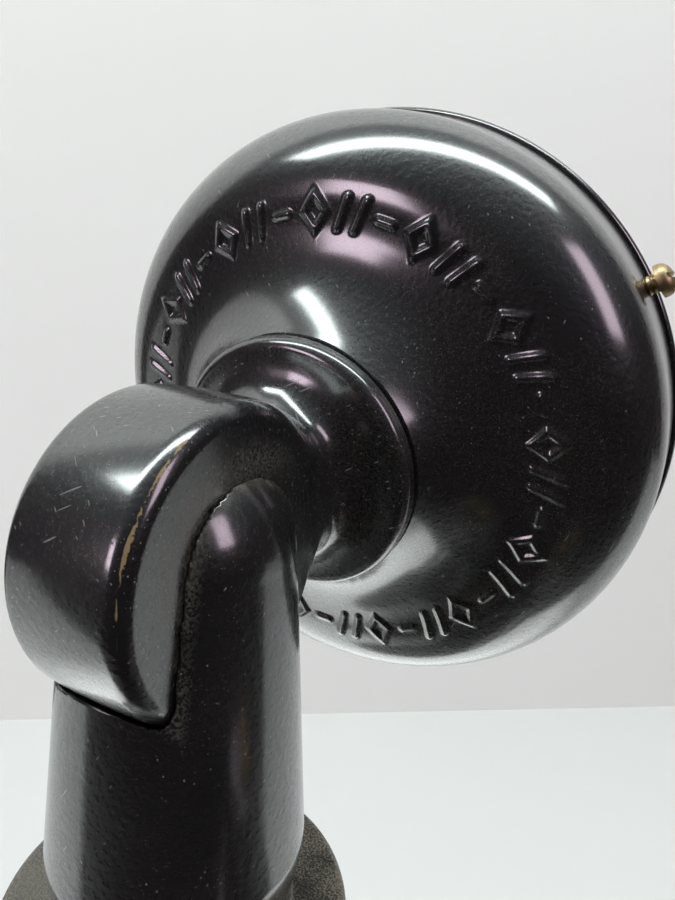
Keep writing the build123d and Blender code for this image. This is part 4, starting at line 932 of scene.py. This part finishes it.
def make_receiver():
    """Receiver shell: rounded tail, hanging lip, neck and flare, open at the ear end."""
    tail, lip, ear_end = 212.0, 193.25, 62.0
    inside, outside = 23.5, 26.5
    profile = [(0, tail)] + arc((10.0, tail - 3.5), 3.5, 90, 0, 10)
    profile += bend((13.5, 200.2), (13.5, 198.4), (14.0, 196.8), (15.5, 196.3), 10)
    profile += [(15.8, 196.0), (15.8, 193.6), (15.55, lip), (11.6, 189.05), (11.5, 188.8)]
    profile += [(11.5, height) for height in np.linspace(186.0, 176.0, 4)]
    profile += bend((11.5, 176.0), (12.0, 150.3), (12.0, 123.6), (17.0, 99.0), 30)[1:]
    profile += bend((17.0, 99.0), (18.9, 89.8), (23.7, 80.0), (outside, 71.0), 16)[1:]
    profile += [(outside, ear_end + 0.3), (outside - 0.3, ear_end), (inside + 0.2, ear_end)]
    profile += [(inside, ear_end + 0.2), (inside, 71.0)]
    profile += bend((inside, 71.0), (20.7, 80.0), (15.9, 88.8), (14.0, 98.0), 12)[1:]
    profile += bend((14.0, 98.0), (9.0, 122.6), (9.0, 150.3), (8.5, 176.0), 16)[1:]
    profile += [(8.5, 208.8), (8.3, 209.0), (0, 209.0)]
    made = lathe("shell", profile, SIDE * RECEIVER_X, UP, segments=224)
    posts = [rod(1.35, (RECEIVER_X + x, 0, 208.0), (0, 0, 1), 6.0, 32) for x in (-4.5, 4.5)]
    return combine(made, posts)


def make_ear_cap():
    """Ear cap with a rounded rim, a dished face and the sound hole."""
    sound_hole, thread, edge = 5.0, 26.55, 31.0
    seat, back = 61.6, 74.0
    profile = [(sound_hole, 59.5), (sound_hole, 60.6), (23.0, 60.6), (23.0, seat)]
    profile += [(thread, seat), (thread, back - 0.3), (26.85, back), (28.6, back)]
    profile += bend((28.6, back), (30.0, 73.8), (30.8, 73.0), (edge, 71.5), 8)
    profile += [(edge, 66.0)] + arc((edge - 4.0, 61.0), 4.0, 0, -88, 16)
    profile += bend((26.5, 57.0), (22.0, 58.0), (12.0, 59.1), (5.6, 59.2), 14)[1:]
    return lathe("cap", profile, SIDE * RECEIVER_X, UP, segments=224)


settle("handle_shell", make_receiver(), "receiver", "hard_rubber", HARD_RUBBER, "receiver_shell")
settle("cap_dished", make_ear_cap(), "receiver", "hard_rubber", HARD_RUBBER, "ear_cap")


# ---- hook lever: fork, bar and the arm down inside the stem ----
def hook_field(points):
    """Distance to the hook lever's surface, in millimetres."""
    x, y, z = points.T
    x, tine, z = x - HOOK_PIN_X, x - TINE_X, z - HOOK_LEVEL
    ring = np.maximum(tine + TINE_X - RECEIVER_X, 0) + np.minimum(tine, 0)
    tip = np.hypot(tine, np.abs(y) - TINE_Y) - 3.0
    fork = np.where(tine < 0, tip, np.abs(np.hypot(ring, np.abs(y)) - TINE_Y) - 3.0)
    bar = np.maximum(np.abs(y) - 4.0, np.abs(x + 16.0) - 20.0)
    plate = rounded(soft_min(fork, bar, 3.0), z, 0.0, 2.0, 0.7)
    knob = soft_max(tip + 0.6 + 0.55 * np.maximum(z - 2.0, 0), np.maximum(z - 4.0, 1.0 - z), 0.6)
    arm = np.maximum(np.maximum(np.abs(x), np.abs(y)) - 1.5, np.maximum(z, -16.0 - z))
    eye = np.maximum(np.hypot(x, z) - 3.0, np.abs(y) - 1.5)
    body = np.minimum(soft_min(plate, knob, 0.8), np.minimum(arm, eye))
    return np.maximum(body, 1.56 - np.hypot(x, z))


hook, _ = field_object("hook", hook_field, (-70.0, -20.0, 171.0), (8.0, 20.0, 193.0), 0.45)
settle("fork_lever", hook, "hook", "black_japan", STEM_PAINT, "hook_lever")


# ---- slotted screws by Geometry Nodes ----
SCREW_SIZES = {
    "Head Radius": 1.95, "Head Height": 1.75, "Shank Radius": 1.15, "Length": 4.2, "Pitch": 0.55,
    "Thread Depth": 0.16, "Slot Width": 0.6, "Slot Depth": 0.6, "Dome": 1.3,
}
HEAD_ROWS, SHANK_ROWS = 12, 64


def screw_tree():
    """Tree that puts a slotted, threaded screw at each point, its head along the point's outward vector."""
    tree = bpy.data.node_groups.new("slotted screws", "GeometryNodeTree")
    socket = tree.interface.new_socket
    socket("Geometry", in_out="INPUT", socket_type="NodeSocketGeometry")
    for label, size in SCREW_SIZES.items():
        socket(label, in_out="INPUT", socket_type="NodeSocketFloat").default_value = size * MM
    socket("Metal", in_out="INPUT", socket_type="NodeSocketMaterial")
    socket("Geometry", in_out="OUTPUT", socket_type="NodeSocketGeometry")
    given = {output.name: Signal(output) for output in tree.nodes.new("NodeGroupInput").outputs}
    rows = HEAD_ROWS + SHANK_ROWS
    inputs = {"Size X": 1.0, "Size Y": 1.0, "Vertices X": 49, "Vertices Y": rows + 1}
    grid = add(tree, "GeometryNodeMeshGrid", inputs)
    place = add(tree, "GeometryNodeInputPosition")
    place = add(tree, "ShaderNodeSeparateXYZ", {0: place}).socket.node.outputs
    turn = (Signal(place[0]) + 0.5) * (2 * math.pi)
    row = (Signal(place[1]) + 0.5) * rows

    # head: from the centre of its domed top out to its side, then down and in to the shank
    quarter = (row / (HEAD_ROWS - 3)).clamp() * (0.5 * math.pi)
    over = given["Head Radius"] * calculate("SINE", quarter)
    top = calculate("COSINE", quarter) * given["Dome"] + (given["Head Height"] - given["Dome"])
    head_height = top * (1.0 - (row > HEAD_ROWS - 2.5))

    # shank: a helical thread, closed at its end
    sunk = ((row - HEAD_ROWS) / SHANK_ROWS).clamp() * given["Length"]
    tooth = calculate("PINGPONG", sunk / given["Pitch"] - turn / (2 * math.pi), 0.5)
    shank = given["Shank Radius"] - tooth * 2.0 * given["Thread Depth"]
    shank = shank * (1.0 - (row > rows - 0.5))
    on_shank = row > HEAD_ROWS - 1.5
    radius = shank * on_shank + over * (1.0 - on_shank)
    spot = {
        0: radius * calculate("COSINE", turn), 1: radius * calculate("SINE", turn),
        2: head_height - sunk * on_shank,
    }
    inputs = {"Geometry": grid, "Position": add(tree, "ShaderNodeCombineXYZ", spot)}
    screw = add(tree, "GeometryNodeSetPosition", inputs)
    screw = add(tree, "GeometryNodeMergeByDistance", {"Geometry": screw, "Distance": 2e-6})

    # slot across the head
    size = {0: given["Head Radius"] * 3.0, 1: given["Slot Width"], 2: given["Slot Depth"] * 2.0}
    bar = add(tree, "GeometryNodeMeshCube", {"Size": add(tree, "ShaderNodeCombineXYZ", size)})
    lift = add(tree, "ShaderNodeCombineXYZ", {2: given["Head Height"]})
    bar = add(tree, "GeometryNodeTransform", {"Geometry": bar, "Translation": lift})
    screw = add(tree, "GeometryNodeMeshBoolean", {0: screw, 1: bar}, operation="DIFFERENCE")

    outward = add(tree, "GeometryNodeInputNamedAttribute", {"Name": "outward"}, data_type="FLOAT_VECTOR")
    spin = add(tree, "GeometryNodeInputNamedAttribute", {"Name": "spin"}, data_type="FLOAT")
    aligned = add(tree, "FunctionNodeAlignRotationToVector", {"Vector": outward}, axis="Z")
    own = add(tree, "FunctionNodeAxisAngleToRotation", {"Axis": (0, 0, 1), "Angle": spin})
    both = add(tree, "FunctionNodeRotateRotation", {0: aligned, 1: own}, rotation_space="LOCAL")
    points = add(tree, "GeometryNodeMeshToPoints", {"Mesh": given["Geometry"]})
    inputs = {"Points": points, "Instance": screw, "Rotation": both}
    placed = add(tree, "GeometryNodeInstanceOnPoints", inputs)
    real = add(tree, "GeometryNodeRealizeInstances", {"Geometry": placed})
    painted = add(tree, "GeometryNodeSetMaterial", {"Geometry": real, "Material": given["Metal"]})
    feed(tree, tree.nodes.new("NodeGroupOutput"), {0: painted})
    return tree


SCREWS = screw_tree()


def make_screws(name, body, slot, node, metal, seats, **sizes):
    """Screws at seats given as (place under the head, outward direction, turn of the slot)."""
    places, outwards, turns = zip(*seats)
    mesh = bpy.data.meshes.new(name)
    mesh.from_pydata([tuple(place * MM) for place in places], [], [])
    outward = mesh.attributes.new("outward", "FLOAT_VECTOR", "POINT")
    outward.data.foreach_set("vector", np.array(outwards, np.float32).ravel())
    made = put_in_scene(name, mesh)
    paint(made, "spin", np.radians(turns))
    nodes = made.modifiers.new("screws", "NODES")
    nodes.node_group = SCREWS
    values = {label: size * MM for label, size in sizes.items()} | {"metal": metal}
    for item in SCREWS.interface.items_tree:
        label = item.name.lower().replace(" ", "_")
        if label in values:
            nodes[item.identifier] = values[label]
    finished_mesh(made)
    shade_smooth(made, 38)
    settle(name, made, body, slot, metal, node)


rim_seats = []
for angle, turn in zip(RIM_SCREW_ANGLES, (20, 78, 130)):
    lift = LOOSE_TRAVEL if angle == LOOSE_SCREW_ANGLE else 0.05
    seat = BOSS_CENTRE + FORWARD * RIM_SCREW_DEPTH + around(angle) * (CUP_RADIUS + lift)
    rim_seats.append((seat, around(angle), turn))
make_screws("rim_screw_set", "transmitter", "brass", "rim_screws", SCREW_BRASS, rim_seats)
make_screws(
    "pivot_screw_slotted", "stand", "black_japan", "pivot_screw", HEAD_PAINT,
    [(PIVOT + SIDE * 8.25, SIDE, 35)], head_radius=4.0, head_height=2.1, shank_radius=2.5, length=16.6,
    pitch=0.8, thread_depth=0.2, slot_width=0.9, slot_depth=0.9, dome=0.7,
)
plate_seats = [(BASE_SCREW_CIRCLE * spoke(angle) + UP * 1.6, -UP, 3.0 * angle + 15) for angle in THIRDS]
make_screws(
    "base_screw_set", "stand", "steel", "base_plate_screws", FINISHES["steel"], plate_seats, head_radius=3.4,
    head_height=1.1, shank_radius=1.8, length=8.0, pitch=0.8, thread_depth=0.2, slot_width=0.8,
    slot_depth=0.5, dome=0.4,
)
lug_seats = [(BOSS_CENTRE + around(angle) * 10.5 + FORWARD * 4.3, FORWARD, angle) for angle in (90, 210, 330)]
make_screws(
    "lug_screw_set", "transmitter", "steel", "lug_screws", FINISHES["steel"], lug_seats, head_radius=2.8,
    head_height=1.7, shank_radius=1.5, length=3.3, pitch=0.6, thread_depth=0.15, slot_width=0.7,
    slot_depth=0.75, dome=0.6,
)


# ---- stage: table, wall, lights and camera ----
WALL_DISTANCE = 326.0                            # millimetres from the stem's axis
WALL_HALF_WIDTH = 1500.0
WALL_HEIGHT = 1600.0
WALL_HEADING = math.radians(35.9)                # from -Y towards +X
TABLE_RADIUS = 1300.0


def stage_paint_with_painted_reflection(name, colour, direction, edge, fade, lift):
    """Matt pale paint, not there from behind; for mirrored light it ends across a direction, in metres, in a
    painted dark reflection, and near its middle it glows as a painted reflection.
    """
    material, tree, shader = start_material(name, Roughness=0.75)
    place = object_place(tree)
    darker = [0.965 * part for part in colour]
    feed(tree, shader, {"Base Color": mix_colour(noise(place, 6.0, 4.0), colour, darker)})
    inputs = {0: place, 1: direction}
    reach = add(tree, "ShaderNodeVectorMath", inputs, output="Value", operation="DOT_PRODUCT")
    out = add(tree, "ShaderNodeVectorMath", {0: place}, output="Value", operation="LENGTH")
    glossy_ray = add(tree, "ShaderNodeLightPath", output="Is Glossy Ray")
    # painted dark reflection: past the edge, mirrored rays see a dark sheet instead of the pale paint
    painted_dark_mask = ramp(reach, edge, edge + fade) * glossy_ray
    dark = add(tree, "ShaderNodeBsdfDiffuse", {"Color": (0.02, 0.016, 0.015, 1.0)})
    # painted reflection: mirrored rays see the paint glow within about 0.2 m of its middle
    painted_glow_strength = (lift - ramp(out, 0.15, 0.25) * lift) * glossy_ray
    painted_reflection_glow = add(tree, "ShaderNodeEmission", {"Color": (0.95, 1.0, 0.98, 1.0), "Strength": painted_glow_strength})
    lit = add(tree, "ShaderNodeAddShader", {0: Signal(shader.outputs[0]), 1: painted_reflection_glow})
    front = add(tree, "ShaderNodeMixShader", {0: painted_dark_mask, 1: lit, 2: dark})
    back = add(tree, "ShaderNodeNewGeometry", output="Backfacing")
    clear = add(tree, "ShaderNodeBsdfTransparent")
    both = add(tree, "ShaderNodeMixShader", {0: back, 1: front, 2: clear})
    feed(tree, tree.nodes["Material Output"], {"Surface": both})
    return material


rim = [spoke(angle) * TABLE_RADIUS for angle in np.linspace(0, 360, 96, endpoint=False)]
table = mesh_object("table", rim, [tuple(range(96))])
inward = (-math.sin(WALL_HEADING), math.cos(WALL_HEADING), 0.0)
# the table top glows near the stand in what the object mirrors: painted reflection
table.data.materials.append(stage_paint_with_painted_reflection("table top", (0.66, 0.655, 0.645), inward, 0.05, 0.015, 1.7))
away = -np.array(inward)
along = np.cross(UP, away)
corners = [
    away * WALL_DISTANCE + along * side * WALL_HALF_WIDTH + UP * height
    for side, height in ((-1, 0), (1, 0), (1, WALL_HEIGHT), (-1, WALL_HEIGHT))
]
wall = mesh_object("wall", corners, [(0, 1, 2, 3)])
if wall.data.polygons[0].normal.dot(Vector(away)) > 0:
    wall.data.flip_normals()
sideways = (math.cos(WALL_HEADING), math.sin(WALL_HEADING), -1.5)
wall.data.materials.append(stage_paint_with_painted_reflection("wall paint", (0.78, 0.775, 0.75), sideways, 0.15, 0.03, 0.0))


def compass(heading, height=0.0):
    """Direction at a heading from -Y towards +X and a height above level, in degrees."""
    heading, height = math.radians(heading), math.radians(height)
    level = Vector((math.sin(heading), -math.cos(heading), 0)) * math.cos(height)
    return level + Vector((0, 0, math.sin(height)))


def soft_box(name, heading, height, distance, size, power, colour, long_side=None, mirrored=True):
    """Rectangular lamp in a direction from the pivot, facing it; long_side is its length's heading."""
    light = bpy.data.lights.new(name, "AREA")
    light.shape = "RECTANGLE"
    light.size, light.size_y = size
    light.energy = power
    light.color = colour
    lamp = put_in_scene(name, light)
    towards = compass(heading, height)
    across = compass(heading + 90 if long_side is None else long_side)
    across = (across - towards * across.dot(towards)).normalized()
    axes = Matrix((across, towards.cross(across), towards)).transposed().to_4x4()
    lamp.matrix_world = Matrix.Translation(Vector(PIVOT * MM) + towards * distance) @ axes
    lamp.visible_camera = False
    lamp.visible_glossy = mirrored


COOL_WHITE = (0.90, 1.0, 0.98)
LAVENDER = (1.0, 0.82, 0.96)
soft_box("ceiling strip", 157.0, 80.0, 1.0, (1.75, 0.20), 17.0, COOL_WHITE, long_side=123.5)
soft_box("window", 157.0, 11.0, 1.6, (0.40, 0.42), 4.4, LAVENDER)
soft_box("far window", -97.0, 31.0, 1.6, (0.42, 0.80), 5.2, LAVENDER)
soft_box("wall wash", 200.0, 14.0, 1.2, (1.4, 0.6), 3.0, (1.0, 1.0, 1.0), mirrored=False)


def make_world():
    """Pale surround behind the object; a dim room with a grey ceiling in what it reflects."""
    world = bpy.data.worlds.new("room")
    bpy.context.scene.world = world
    world.use_nodes = True
    tree = world.node_tree
    tree.nodes.clear()
    direction = add(tree, "ShaderNodeTexCoord", output="Generated")
    ceiling = ramp(add(tree, "ShaderNodeSeparateXYZ", {0: direction}, output=2), 0.2, 0.8)
    colour = mix_colour(ceiling, (0.019, 0.013, 0.011), (0.085, 0.10, 0.12))
    room = add(tree, "ShaderNodeBackground", {"Color": colour, "Strength": 1.0})
    seen = add(tree, "ShaderNodeBackground", {"Color": (0.78, 0.78, 0.78, 1.0), "Strength": 1.0})
    camera_ray = add(tree, "ShaderNodeLightPath", output="Is Camera Ray")
    both = add(tree, "ShaderNodeMixShader", {0: camera_ray, 1: room, 2: seen})
    feed(tree, tree.nodes.new("ShaderNodeOutputWorld"), {"Surface": both})


def make_camera():
    """Close view from behind and above the shoulder of the cup."""
    heading, fall, roll = math.radians(27.3), math.radians(13.8), math.radians(4.16)
    look = Vector((math.sin(heading) * math.cos(fall), -math.cos(heading) * math.cos(fall), -math.sin(fall)))
    right = look.cross(Vector((0, 0, 1))).normalized()
    upright = right.cross(look)
    tilted = right * math.cos(roll) + upright * math.sin(roll)
    camera_up = tilted.cross(look)
    lens = bpy.data.cameras.new("camera")
    lens.lens = 27.16
    lens.sensor_width = 36.0
    lens.clip_start = 0.002
    lens.clip_end = 20.0
    camera = put_in_scene("camera", lens)
    place = Vector((PIVOT + np.array([-40.44, 47.73, 25.71])) * MM)
    camera.matrix_world = Matrix.Translation(place) @ Matrix((tilted, camera_up, -look)).transposed().to_4x4()
    bpy.context.scene.camera = camera


make_world()
make_camera()
bpy.context.scene.view_settings.view_transform = "Standard"
